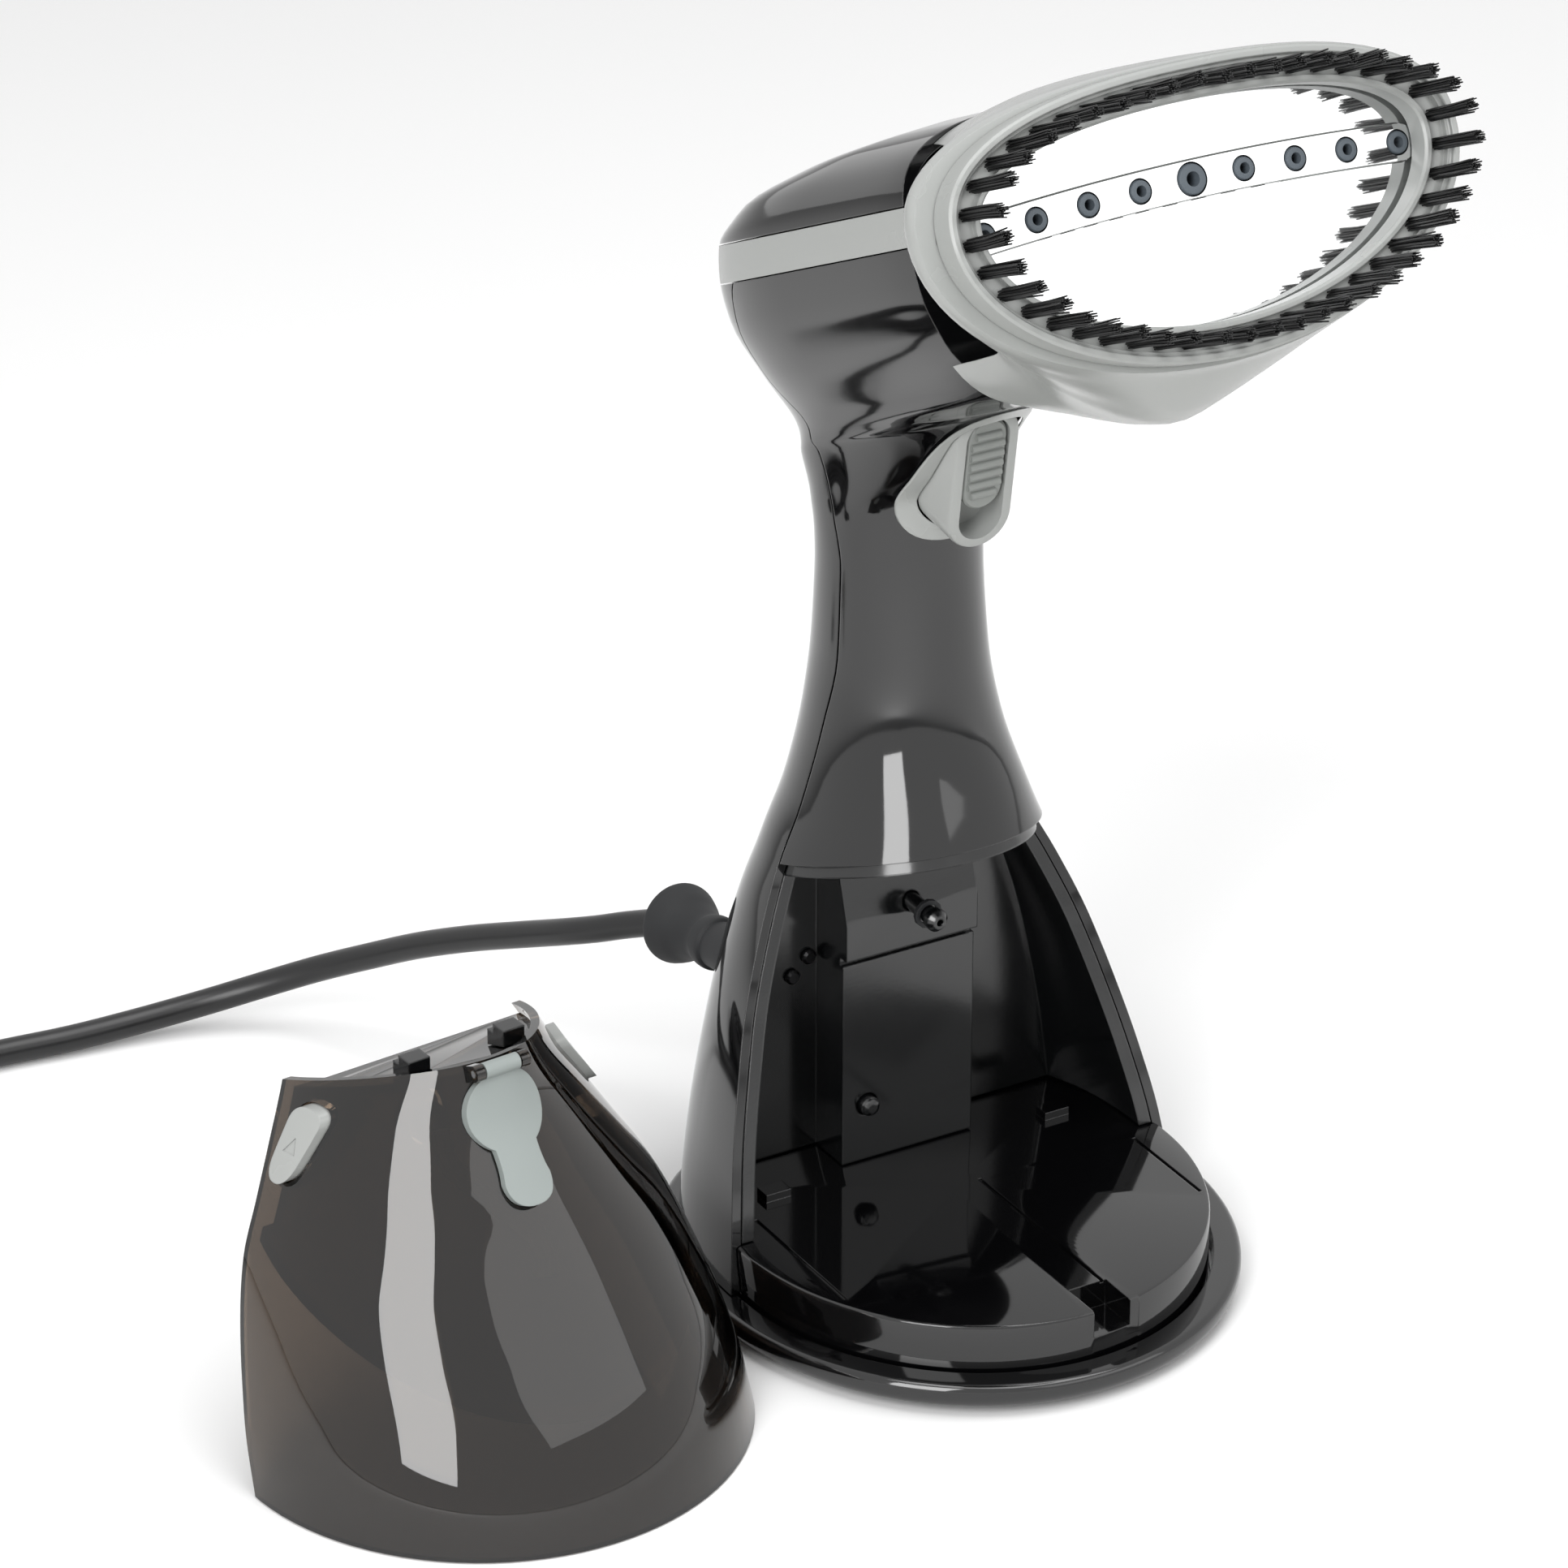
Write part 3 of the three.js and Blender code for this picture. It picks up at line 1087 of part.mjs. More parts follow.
function tankFront(clearance) {
  return sidePrism([
    [cutY(-reach / 4) - clearance, -reach / 4], [cutY(reach / 4) - clearance, reach / 4],
    [-reach / 4, reach / 4], [-reach / 4, -reach / 4],
  ]);
}

// The top edge climbs from the rear corners to the front, and the reservoir's floor climbs the other way.
const roofSlope = tankPlace.frontRise / (tank.cutTopY + tank.front * tankShares.at(-1)[2]);
const latchTop = tank.cornerHeight + roofSlope * (tank.cutTopY - tank.latchY) + tankPlace.latchRise;

function tankBelow(drop) {
  const point = new THREE.Vector3(0, tank.cutTopY, tank.cornerHeight - drop);
  return halfSpace(point, new THREE.Vector3(0, -roofSlope, -1));
}

const floorSlope = (tank.reservoirCorner - tank.reservoirFront) / (tank.front + cutY(tank.reservoirFront));

function reservoirAbove(offset) {
  const point = new THREE.Vector3(0, -tank.front, tank.reservoirFront + offset);
  return halfSpace(point, new THREE.Vector3(0, -floorSlope, 1));
}

// The steaming side of the tank is a cone-like front, and the cap lies along it.
const capRow = (z) => {
  const rows = tankShares.map(([height, , front]) => [height * tank.height, -front * tank.front]);
  const i = Math.max(rows.findIndex(([height]) => height >= z), 1);
  const t = (z - rows[i - 1][0]) / (rows[i][0] - rows[i - 1][0]);
  return rows[i - 1][1] + t * (rows[i][1] - rows[i - 1][1]);
};
const frontAt = (z) => new THREE.Vector3(0, capRow(z), z);
const capUp = new THREE.Vector3()
  .subVectors(frontAt(tank.hingeHeight), frontAt(tank.capHeight - tank.capRadius)).normalize();
const capOut = new THREE.Vector3().crossVectors(new THREE.Vector3(1, 0, 0), capUp).normalize();
const capPlace = new THREE.Matrix4()
  .makeBasis(new THREE.Vector3(1, 0, 0), capUp, capOut).setPosition(frontAt(tank.capHeight));
const capHinge = (tank.hingeHeight - tank.capHeight) / capUp.z;
const hingeRise = tank.knuckleRadius + gap * 2;
const hingePoint = (across) => frontAt(tank.hingeHeight).addScaledVector(capOut, hingeRise).setX(across);

function capSlab(shape, low, high) {
  return extruded(shape, high - low, capPlace.clone().multiply(new THREE.Matrix4().makeTranslation(0, 0, low)));
}

function circleShape(radius) {
  const shape = new THREE.Shape();
  shape.absarc(0, 0, radius, 0, 2 * Math.PI, false);
  return shape;
}

function makeTankShell() {
  const skin = tankSkin(0).subtract(tankSkin(tank.wall));
  let shell = skin.intersect(tankFront(0)).intersect(tankBelow(0));
  for (const side of [-1, 1]) {
    const near = side * (tank.capTabHalf + gap);
    const far = near + side * tank.lugWidth;
    const knuckle = bar(hingePoint(near), hingePoint(far), tank.knuckleRadius, tank.knuckleRadius, 10);
    const inner = hingePoint((near + far) / 2).addScaledVector(capOut, -hingeRise - tank.wall);
    const foot = box(
      -tank.lugWidth / 2, -tank.knuckleRadius, 0, tank.lugWidth / 2, tank.knuckleRadius, hingeRise + tank.wall,
      new THREE.Matrix4().makeBasis(new THREE.Vector3(1, 0, 0), capUp, capOut).setPosition(inner),
    );
    shell = shell.add(knuckle.add(foot).subtract(tankSkin(tank.wall)));
  }
  const pinRoom = tank.capPinRadius + gap;
  shell = shell.subtract(bar(hingePoint(-reach / 8), hingePoint(reach / 8), pinRoom, pinRoom, 10));
  shell = shell.subtract(capSlab(circleShape(tank.capStemRadius + running), -reach / 8, reach / 8));
  for (const side of [-1, 1]) shell = shell.subtract(buttonBlock(side, running));
  return shell;
}

function makeTankReservoir() {
  const fit = tankSkin(tank.wall + gap);
  const room = tankSkin(tank.wall * 2 + gap);
  const outside = fit.intersect(tankFront(tank.backInset)).intersect(tankBelow(tank.wall)).intersect(reservoirAbove(0));
  const inside = room
    .intersect(tankFront(tank.backInset + tank.wall)).intersect(tankBelow(tank.wall * 2)).intersect(reservoirAbove(tank.wall));
  const openFront = halfSpace(new THREE.Vector3(0, cutY(tank.cornerHeight) - tank.wall * 4, 0), forwards)
    .intersect(tankSkin(tank.wall - gap)).subtract(tankSkin(tank.wall * 2 + gap * 2));
  let piece = outside.subtract(inside)
    .subtract(openFront.intersect(reservoirAbove(tank.wall)).intersect(tankBelow(tank.wall * 2)));
  const depth = tank.buttonInto + tank.buttonTravel + gap;
  for (const side of [-1, 1]) {
    const cup = fit.subtract(tankSkin(depth + tank.wall)).intersect(buttonBlock(side, running + tank.wall));
    const pocket = buttonBlock(side, running).subtract(tankSkin(depth));
    piece = piece.add(cup.intersect(tankFront(tank.backInset))).subtract(pocket);
  }
  const stemRoom = capSlab(circleShape(tank.capStemRadius + running), -reach / 8, reach / 8);
  piece = piece.subtract(stemRoom);
  piece = piece.subtract(bar(outletPoint(-reach / 8), outletPoint(reach / 8), tank.outletRadius + gap * 2));
  return piece;
}

function outletPoint(out) {
  const z = bay.spoutHeight - base.plinthHeight;
  return new THREE.Vector3(0, cutY(z) - tank.backInset + out, z);
}

function makeOutlet() {
  const lip = tank.outletRadius + tank.outletLip;
  const seat = lip * cutSlope + gap * 2;
  return turned([
    [tank.outletBore, -tank.outletLength / 2], [tank.outletRadius, -tank.outletLength / 2],
    [tank.outletRadius, seat], [lip, seat], [lip, seat + tank.outletLip], [tank.outletBore, seat + tank.outletLip],
    [tank.outletBore, -tank.outletLength / 2],
  ], outletPoint(0), backwards, 12);
}

// The tube that draws the water from the lowest part of the reservoir, with its strainer.
const tubeTop = outletPoint(-tank.outletLength / 2 - tank.tubeRadius - gap);
const tubeY = -tank.front * 0.42;
const floorUnderTube = tank.reservoirFront + floorSlope * (tank.front + tubeY) + tank.wall;
const tubeLow = new THREE.Vector3(0, tubeY, floorUnderTube + tank.filterRadius * floorSlope + tank.filterLength + gap * 2);

function makeSuctionTube() {
  const curve = new THREE.CatmullRomCurve3([
    tubeTop, tubeTop.clone().add(new THREE.Vector3(0, -tank.tubeRadius, -tank.tubeRadius * 3)),
    tubeTop.clone().lerp(tubeLow, 0.5), tubeLow.clone().setZ(tubeLow.z + tank.tubeRadius * 3), tubeLow,
  ]);
  return toSolid(tubeAlong(curve, tank.tubeRadius, 10, 8));
}

function makeStrainer() {
  const top = tubeLow.clone().setZ(tubeLow.z - gap);
  return bar(top.clone().setZ(top.z - tank.filterLength), top, tank.filterRadius, tank.filterRadius * 0.8, 16);
}

// A block through the tank's side with the release button's outline.
function buttonBlock(side, extra) {
  const half = tank.buttonHalf + extra;
  const tall = tank.buttonHeight / 2 + extra;
  const shape = new THREE.Shape();
  shape.moveTo(-half, tall * 0.55);
  shape.quadraticCurveTo(-half, tall, 0, tall);
  shape.quadraticCurveTo(half, tall, half, tall * 0.55);
  shape.lineTo(half * 0.85, -tall * 0.5);
  shape.quadraticCurveTo(half * 0.7, -tall, 0, -tall);
  shape.quadraticCurveTo(-half * 0.7, -tall, -half * 0.85, -tall * 0.5);
  shape.closePath();
  const matrix = new THREE.Matrix4().makeBasis(
    new THREE.Vector3(0, 1, 0), new THREE.Vector3(0, 0, 1), new THREE.Vector3(1, 0, 0),
  ).setPosition(0, tank.buttonY, tank.buttonZ);
  const shift = side > 0 ? 0 : -reach / 8;
  return extruded(shape, reach / 8, matrix.multiply(new THREE.Matrix4().makeTranslation(0, 0, shift)), 3);
}

function makeButton(side) {
  const body = tankSkin(-tank.buttonProud).subtract(tankSkin(tank.buttonInto));
  return body.intersect(buttonBlock(side, 0));
}

function makeFillCap() {
  const half = tank.capTabHalf;
  const tab = new THREE.Shape();
  tab.moveTo(-half, 0);
  tab.lineTo(half, 0);
  tab.lineTo(half, capHinge);
  tab.lineTo(-half, capHinge);
  const thumb = new THREE.Shape();
  thumb.moveTo(-half, 0);
  thumb.quadraticCurveTo(-half / 2, -tank.capRadius * 1.1, -tank.thumbHalf, -tank.thumbDrop * 0.7);
  thumb.quadraticCurveTo(-tank.thumbHalf, -tank.thumbDrop, 0, -tank.thumbDrop);
  thumb.quadraticCurveTo(tank.thumbHalf, -tank.thumbDrop, tank.thumbHalf, -tank.thumbDrop * 0.7);
  thumb.quadraticCurveTo(half / 2, -tank.capRadius * 1.1, half, 0);
  const outline = [circleShape(tank.capRadius), tab, thumb]
    .map((shape) => capSlab(shape, -tank.capRadius, tank.capRadius))
    .reduce((all, solid) => all.add(solid));
  const knuckle = bar(hingePoint(-half), hingePoint(half), tank.knuckleRadius, tank.knuckleRadius, 12);
  const stemStart = new THREE.Vector3(0, 0, -tank.wall - tank.capStemLength).applyMatrix4(capPlace);
  const stemEnd = new THREE.Vector3(0, 0, tank.capProud / 2).applyMatrix4(capPlace);
  return tankSkin(-tank.capProud).subtract(tankSkin(-gap)).intersect(outline)
    .add(knuckle).add(bar(stemStart, stemEnd, tank.capStemTip, tank.capStemRadius, 16))
    .subtract(bar(hingePoint(-reach / 8), hingePoint(reach / 8), tank.capPinRadius + gap, tank.capPinRadius + gap, 10));
}

function makeCapPin() {
  const half = tank.capTabHalf + gap + tank.lugWidth;
  return bar(hingePoint(-half), hingePoint(half), tank.capPinRadius, tank.capPinRadius, 10);
}

// Each release button works a hook that stands on the reservoir's roof, inside the shell's upper edge.
function makeTankLatch(side) {
  const near = side * (tank.latchX - tank.latchWidth / 2);
  const far = side * (tank.latchX + tank.latchWidth / 2);
  const [left, right] = [Math.min(near, far), Math.max(near, far)];
  const low = tank.cornerHeight - tank.wall * 2;
  const block = box(
    left, tank.latchY - tank.latchDepth / 2, low, right, tank.latchY + tank.latchDepth / 2, latchTop - tank.latchStep,
  );
  const hook = box(
    left, tank.latchY - tank.latchDepth / 2, low, right, tank.latchY + tank.latchDepth / 6, latchTop,
  );
  return block.add(hook).subtract(tankBelow(tank.wall - gap));
}

// Lead, its guard, the coil and the plug.
function makeGuard() {
  const { guardLength: length, guardInside: inside, guardRoot: root, guardWaist: waist, guardMouth: mouth } = cord;
  const behind = inside + cord.flangeThickness;
  const core = cord.diameter / 2;
  const profile = [
    [0, -behind - cord.clampLength - gap * 2], [core, -behind - cord.clampLength - gap * 2], [core, -behind],
    [cord.guardFlange, -behind], [cord.guardFlange, -inside], [waist, -inside],
    [waist, length * 0.1], [root, length * 0.13], [root, length * 0.38], [waist, length * 0.5],
    [root, length * 0.62], [mouth * 0.9, length * 0.76], [mouth, length * 0.9], [mouth * 0.96, length],
    [mouth * 0.82, length * 1.01], [core + gap * 2, length * cord.mouthShare], [0, length * cord.mouthShare],
  ];
  return turned(profile, cordPlace(0), cordOut, 14);
}

function makeClamp() {
  const at = cordPlace(-cord.guardInside - cord.flangeThickness - gap - cord.clampLength).setX(cord.clampX);
  const half = cord.clampWidth / 2;
  const matrix = new THREE.Matrix4().makeRotationX(-cord.dip).setPosition(at);
  const block = box(-half, 0, -cord.clampHeight / 2, half, cord.clampLength, cord.clampHeight / 2, matrix)
    .subtract(bar(cordPlace(-reach / 8), cordPlace(reach / 8), cord.diameter / 2 + gap * 2));
  return bay.screws.reduce((clamp, screw) => clamp.subtract(linerScrewHole(screw)), block);
}

const curveOf = (points) => new THREE.CatmullRomCurve3(points, false, 'centripetal');

// The plug lies flat on the table at the tail's end.
const tailEnd = new THREE.Vector3(...tailPoints.at(-1));
const plugAlong = tailEnd.clone().sub(new THREE.Vector3(...tailPoints.at(-2))).setZ(0).normalize();
const plugSide = new THREE.Vector3().crossVectors(plugAlong, upright).normalize();
const plugPoint = (along, side, up) => (
  tailEnd.clone().addScaledVector(plugAlong, along + gap).addScaledVector(plugSide, side).setZ(plug.thickness / 2 + up)
);

function makePlug() {
  const section = (along, half, tall) => Array.from({ length: plug.sides }, (unused, i) => {
    const angle = ((i + 0.5) / plug.sides) * 2 * Math.PI;
    return plugPoint(along, half * signedPower(Math.cos(angle), plug.power), tall * signedPower(Math.sin(angle), plug.power));
  });
  const tall = plug.thickness / 2;
  const end = plug.neckLength + plug.length;
  const plugSolid = loft([
    section(0, plug.neckTip, plug.neckTip), section(plug.neckLength * 0.7, plug.neckRoot, plug.neckRoot),
    section(plug.neckLength, plug.neckRoot * 1.4, tall), section(plug.neckLength + plug.length * 0.3, plug.half * 0.85, tall),
    section(plug.neckLength + plug.length * 0.6, plug.half, tall), section(end - gap * 4, plug.half, tall),
    section(end, plug.half - gap * 3, tall - gap * 3),
  ]);
  const holes = [-1, 1].map((side) => bar(
    plugPoint(end - plug.pinInto - gap, (side * plug.pinPitch) / 2, 0), plugPoint(end + reach / 8, (side * plug.pinPitch) / 2, 0),
    plug.pinRadius + gap, plug.pinRadius + gap, 12,
  ));
  return plugSolid.subtract(holes[0]).subtract(holes[1]);
}

function makePlugPin(side) {
  const end = plug.neckLength + plug.length;
  const at = (side * plug.pinPitch) / 2;
  const shoulder = plugPoint(end + plug.pinLength - plug.pinRadius, at, 0);
  return bar(plugPoint(end - plug.pinInto, at, 0), shoulder, plug.pinRadius, plug.pinRadius, 12)
    .add(bar(shoulder, plugPoint(end + plug.pinLength, at, 0), plug.pinRadius, plug.pinRadius / 2, 12));
}

// The coil winds in over one layer and out again over the next, and climbs where it turns back.
function coilPoint(turns) {
  const perLayer = cord.coilTurns;
  const layer = Math.min(Math.floor(turns / perLayer), cord.coilLayers - 1);
  const within = turns - layer * perLayer;
  const outer = cord.coilRadius + (cord.coilPitch * perLayer) / 2;
  const inward = layer % 2 === 0;
  const radius = inward ? outer - cord.coilPitch * within : outer - cord.coilPitch * (perLayer - within);
  let level = layer;
  for (let turnBack = 1; turnBack < cord.coilLayers; turnBack += 1) {
    const away = turns - turnBack * perLayer;
    if (Math.abs(away) < 0.25) level = turnBack - 0.5 + 2 * away;
  }
  const angle = cord.coilStart - 2 * Math.PI * turns;
  const rest = cord.diameter / 2 + cord.floor;
  return new THREE.Vector3(
    cord.coilX + radius * Math.cos(angle), cord.coilY + radius * Math.sin(angle), rest + level * cord.coilPitch,
  );
}

function coilPoints() {
  const count = Math.round(cord.coilTurns * cord.coilLayers * cord.coilSteps);
  return Array.from({ length: count + 1 }, (unused, i) => coilPoint((i / count) * cord.coilTurns * cord.coilLayers));
}

// A tube of a few sides through given points, its first and last stretch straight.
function polyTube(points, radius, sides) {
  const rings = points.map((point, i) => {
    const ahead = points[Math.min(i + 1, points.length - 1)].clone().sub(points[Math.max(i - 1, 0)]).normalize();
    const flat = new THREE.Vector3().crossVectors(ahead, upright).normalize();
    const lift = new THREE.Vector3().crossVectors(flat, ahead).normalize();
    return Array.from({ length: sides }, (unused, k) => {
      const angle = (k / sides) * 2 * Math.PI;
      return point.clone().addScaledVector(flat, radius * Math.cos(angle)).addScaledVector(lift, radius * Math.sin(angle));
    });
  });
  return loft(rings);
}

function coilRoute() {
  const points = coilPoints();
  const before = points[0].clone().sub(points[1]).normalize();
  before.z = 0;
  const after = points.at(-1).clone().sub(points.at(-2)).normalize();
  after.z = 0;
  const lead = cord.diameter;
  return [points[0].clone().addScaledVector(before, lead), ...points, points.at(-1).clone().addScaledVector(after, lead)];
}

const coilPath = coilRoute();

// A point on the coil's own straight ends, further out by a distance.
function pastEnd(index, next, distance) {
  const [end, inner] = [coilPath.at(index), coilPath.at(next)];
  return end.clone().addScaledVector(end.clone().sub(inner).normalize(), distance);
}

function makeLead() {
  const toCoil = [pastEnd(0, 1, cord.diameter + gap), pastEnd(0, 1, gap)];
  return tubeAlong(curveOf([...leadPoints.map((p) => new THREE.Vector3(...p)), ...toCoil]), cord.diameter / 2, 26, cord.sides);
}

function makeTail() {
  const fromCoil = [pastEnd(-1, -2, gap), pastEnd(-1, -2, cord.diameter + gap)];
  return tubeAlong(curveOf([...fromCoil, ...tailPoints.map((p) => new THREE.Vector3(...p))]), cord.diameter / 2, 10, cord.sides);
}

function reportCoilGap() {
  let least = Infinity;
  for (let i = 0; i < coilPath.length; i += 1) {
    for (let j = i + Math.round(cord.coilSteps / 2); j < coilPath.length; j += 1) {
      least = Math.min(least, coilPath[i].distanceTo(coilPath[j]) - cord.diameter);
    }
  }
  console.log(`least gap between the coil's turns: ${least.toFixed(2)} mm`);
}

function nodeOf(name, solid, colour, roughness = 0.4, metalness = 0, opacity = 1) {
  const geometry = solid instanceof THREE.BufferGeometry ? solid : toGeometry(solid);
  const material = new THREE.MeshStandardMaterial({
    color: colour, roughness, metalness, opacity, transparent: opacity < 1,
  });
  const mesh = new THREE.Mesh(geometry, material);
  mesh.name = name;
  return mesh;
}

const steamer = new THREE.Group();
steamer.name = 'garment_steamer';
reportCoilGap();

const tankGroup = new THREE.Group();
tankGroup.position.set(tank.x, tank.y, 0);
tankGroup.rotation.z = tank.turn;

steamer.add(
  nodeOf('base_rim', makeRim(), colours.blackGloss, 0.2),
  nodeOf('base_plinth', makePlinth(), colours.blackGloss, 0.25),
  nodeOf('base_plate', makeBasePlate(), colours.blackSatin, 0.5),
  nodeOf('rear_shell', makeRearShell(), colours.blackGloss, 0.12),
  nodeOf('front_shell', makeFrontShell(), colours.blackGloss, 0.12),
  nodeOf('band_trim', makeBand(), colours.lightGrey, 0.35),
  nodeOf('top_cover', makeTopCover(), colours.blackGloss, 0.12),
  nodeOf('bay_liner', makeLiner(), colours.blackSatin, 0.25),
  nodeOf('inlet_spout', makeSpout(), colours.blackSatin, 0.35),
  nodeOf('spout_seal', makeSpoutSeal(), colours.rubber, 0.8),
  nodeOf('bay_button', makeBayButton(), colours.blackSatin, 0.15),
  nodeOf('tank_switch', makeTankSwitch(), colours.blackSatin, 0.5),
  nodeOf('nozzle_housing', makeHousing(), colours.lightGrey, 0.35),
  nodeOf('soleplate', makeSoleplate(), colours.steel, 0.06, 1),
  nodeOf('nozzle_strip', makeNozzles(), colours.nozzle, 0.5),
  nodeOf('steam_block', makeSteamBlock(), colours.aluminium, 0.5, 1),
  nodeOf('thermostat', makeThermostat(), colours.steel, 0.4, 1),
  nodeOf('pump', makePump(), colours.white, 0.5),
  nodeOf('pump_cradle', makePumpCradle(), colours.rubber, 0.8),
  nodeOf('water_hose', makeWaterHose(), colours.white, 0.5),
  nodeOf('trigger_plate', makeTriggerPlate(), colours.lightGrey, 0.35),
  nodeOf('trigger', makeTrigger(), colours.lightGrey, 0.35),
  nodeOf('trigger_pin', makeTriggerPin(), colours.steel, 0.3, 1),
  nodeOf('steam_lock', makeSteamLock(), colours.midGrey, 0.4),
  nodeOf('steam_switch', makeSwitch(), colours.blackSatin, 0.5),
  nodeOf('trigger_spring', makeTriggerSpring(), colours.spring, 0.3, 1),
  nodeOf('brush_ring', makeBrushRing(), colours.lightGrey, 0.35),
  nodeOf('cord_guard', makeGuard(), colours.rubber, 0.85),
  nodeOf('cord_clamp', makeClamp(), colours.blackSatin, 0.5),
  nodeOf('cord', toSolid(makeLead()), colours.rubber, 0.5),
  nodeOf('cord_coil', polyTube(coilPath, cord.diameter / 2, cord.coilSides), colours.rubber, 0.5),
  nodeOf('cord_tail', toSolid(makeTail()), colours.rubber, 0.5),
  nodeOf('plug', makePlug(), colours.blackSatin, 0.5),
  tankGroup,
);

footPlaces().forEach((place, i) => {
  steamer.add(nodeOf(`rubber_foot_${i + 1}`, makeFoot(place), colours.rubber, 0.9));
});
screwAxes().forEach((axis, i) => {
  steamer.add(nodeOf(`case_screw_${i + 1}`, makeCaseScrew(axis), colours.steel, 0.3, 1));
});
const bristleNames = ['bristles_upper_right', 'bristles_upper_left', 'bristles_lower_left', 'bristles_lower_right'];
bristleNames.forEach((name, part) => {
  steamer.add(nodeOf(name, makeBristles(part, bristleNames.length), colours.bristle, 0.6));
});

tankGroup.add(
  nodeOf('tank_shell', makeTankShell(), colours.smoke, 0.1, 0, 0.6),
  nodeOf('tank_reservoir', makeTankReservoir(), colours.smoke, 0.15, 0, 0.6),
  nodeOf('tank_outlet', makeOutlet(), colours.blackSatin, 0.4),
  nodeOf('suction_tube', makeSuctionTube(), colours.white, 0.4),
  nodeOf('strainer', makeStrainer(), colours.blackSatin, 0.5),
  nodeOf('fill_cap', makeFillCap(), colours.capGrey, 0.4),
  nodeOf('fill_cap_pin', makeCapPin(), colours.steel, 0.3, 1),
);
bay.screws.forEach((screw, i) => {
  steamer.add(nodeOf(`clamp_screw_${i + 1}`, makeLinerScrew(screw), colours.steel, 0.3, 1));
});
for (const [word, side] of [['left', -1], ['right', 1]]) {
  steamer.add(nodeOf(`plug_pin_${word}`, makePlugPin(side), colours.steel, 0.25, 1));
  tankGroup.add(
    nodeOf(`release_button_${word}`, makeButton(side), colours.lightGrey, 0.4),
    nodeOf(`latch_${word}`, makeTankLatch(side), colours.blackSatin, 0.4),
  );
}

export default steamer;
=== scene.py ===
# Garment steamer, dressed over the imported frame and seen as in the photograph.
import math
import random

import bmesh
import bpy
import numpy as np
from mathutils import Matrix, Vector


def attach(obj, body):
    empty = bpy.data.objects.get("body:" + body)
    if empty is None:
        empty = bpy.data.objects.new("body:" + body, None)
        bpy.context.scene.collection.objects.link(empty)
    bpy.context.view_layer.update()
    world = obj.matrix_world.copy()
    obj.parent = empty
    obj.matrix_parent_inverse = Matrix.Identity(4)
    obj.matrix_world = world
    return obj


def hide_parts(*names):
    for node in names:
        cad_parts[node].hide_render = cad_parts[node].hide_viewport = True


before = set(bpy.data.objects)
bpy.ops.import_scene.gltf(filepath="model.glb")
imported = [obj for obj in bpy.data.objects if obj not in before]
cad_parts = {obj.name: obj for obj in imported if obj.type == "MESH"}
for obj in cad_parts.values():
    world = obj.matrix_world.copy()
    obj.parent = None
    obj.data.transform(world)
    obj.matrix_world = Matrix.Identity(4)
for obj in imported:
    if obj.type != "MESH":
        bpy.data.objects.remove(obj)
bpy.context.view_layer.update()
scene = bpy.context.scene
scene.view_settings.view_transform = "Standard"
milli = 0.001  # shapes are worked out in millimetres and put into metres at the end
around = 96  # points round a casing section
print("frame loaded")

# Camera: where it stood, as an angle round the object, a height angle and a distance in mm
shot = {"azimuth": -30.189, "elevation": 27.069, "distance": 1400, "target": (-39.559, 7.16, 121.673), "lens": 158.9}
azimuth, elevation = math.radians(shot["azimuth"]), math.radians(shot["elevation"])
towards = Vector((
    math.sin(azimuth) * math.cos(elevation), -math.cos(azimuth) * math.cos(elevation), math.sin(elevation),
))
lensData = bpy.data.cameras.new("photoCamera")
lensData.lens = shot["lens"]
lensData.sensor_width = 36
lensData.clip_start = 0.05
camera = bpy.data.objects.new("photoCamera", lensData)
camera.location = (Vector(shot["target"]) + towards * shot["distance"]) * milli
camera.rotation_euler = (-towards).to_track_quat("-Z", "Y").to_euler()
scene.collection.objects.link(camera)
scene.camera = camera


# Shapes
def newObject(name, points, faces):
    mesh = bpy.data.meshes.new(name)
    mesh.from_pydata([tuple(float(v) for v in p) for p in points], [], faces)
    made = bpy.data.objects.new(name, mesh)
    scene.collection.objects.link(made)
    return made


def outwards(made):
    form = bmesh.new()
    form.from_mesh(made.data)
    bmesh.ops.remove_doubles(form, verts=form.verts, dist=1e-5)
    bmesh.ops.recalc_face_normals(form, faces=form.faces)
    if form.calc_volume(signed=True) < 0:
        bmesh.ops.reverse_faces(form, faces=form.faces)
    form.to_mesh(made.data)
    form.free()
    return made


# Cuts and joins: the steps are pairs of an operation and a tool, and the tools are used up
def carve(made, *steps):
    for operation, tool in steps:
        step = made.modifiers.new("carve", "BOOLEAN")
        step.operation, step.solver, step.object = operation, "MANIFOLD", tool
    graph = bpy.context.evaluated_depsgraph_get()
    mesh = bpy.data.meshes.new_from_object(made.evaluated_get(graph))
    made.modifiers.clear()
    made.data = mesh
    for _, tool in steps:
        bpy.data.objects.remove(tool)
    return made


def less(made, *tools):
    return carve(made, *[("DIFFERENCE", tool) for tool in tools])


def kept(made, *tools):
    return carve(made, *[("INTERSECT", tool) for tool in tools])


def joined(made, *tools):
    return carve(made, *[("UNION", tool) for tool in tools])


# A closed skin through rings of equal point count, with flat or domed ends
def loft(name, rings):
    count = len(rings[0])
    points = [p for ring in rings for p in ring]
    faces = []
    for row in range(len(rings) - 1):
        for i in range(count):
            a, b = row * count + i, row * count + (i + 1) % count
            faces.append((a, b, b + count, a + count))
    for ring, base in ((rings[0], 0), (rings[-1], (len(rings) - 1) * count)):
        centre = len(points)
        points.append(np.mean(np.array(ring), axis=0))
        faces += [(centre, base + (i + 1) % count, base + i) for i in range(count)]
    return outwards(newObject(name, points, faces))


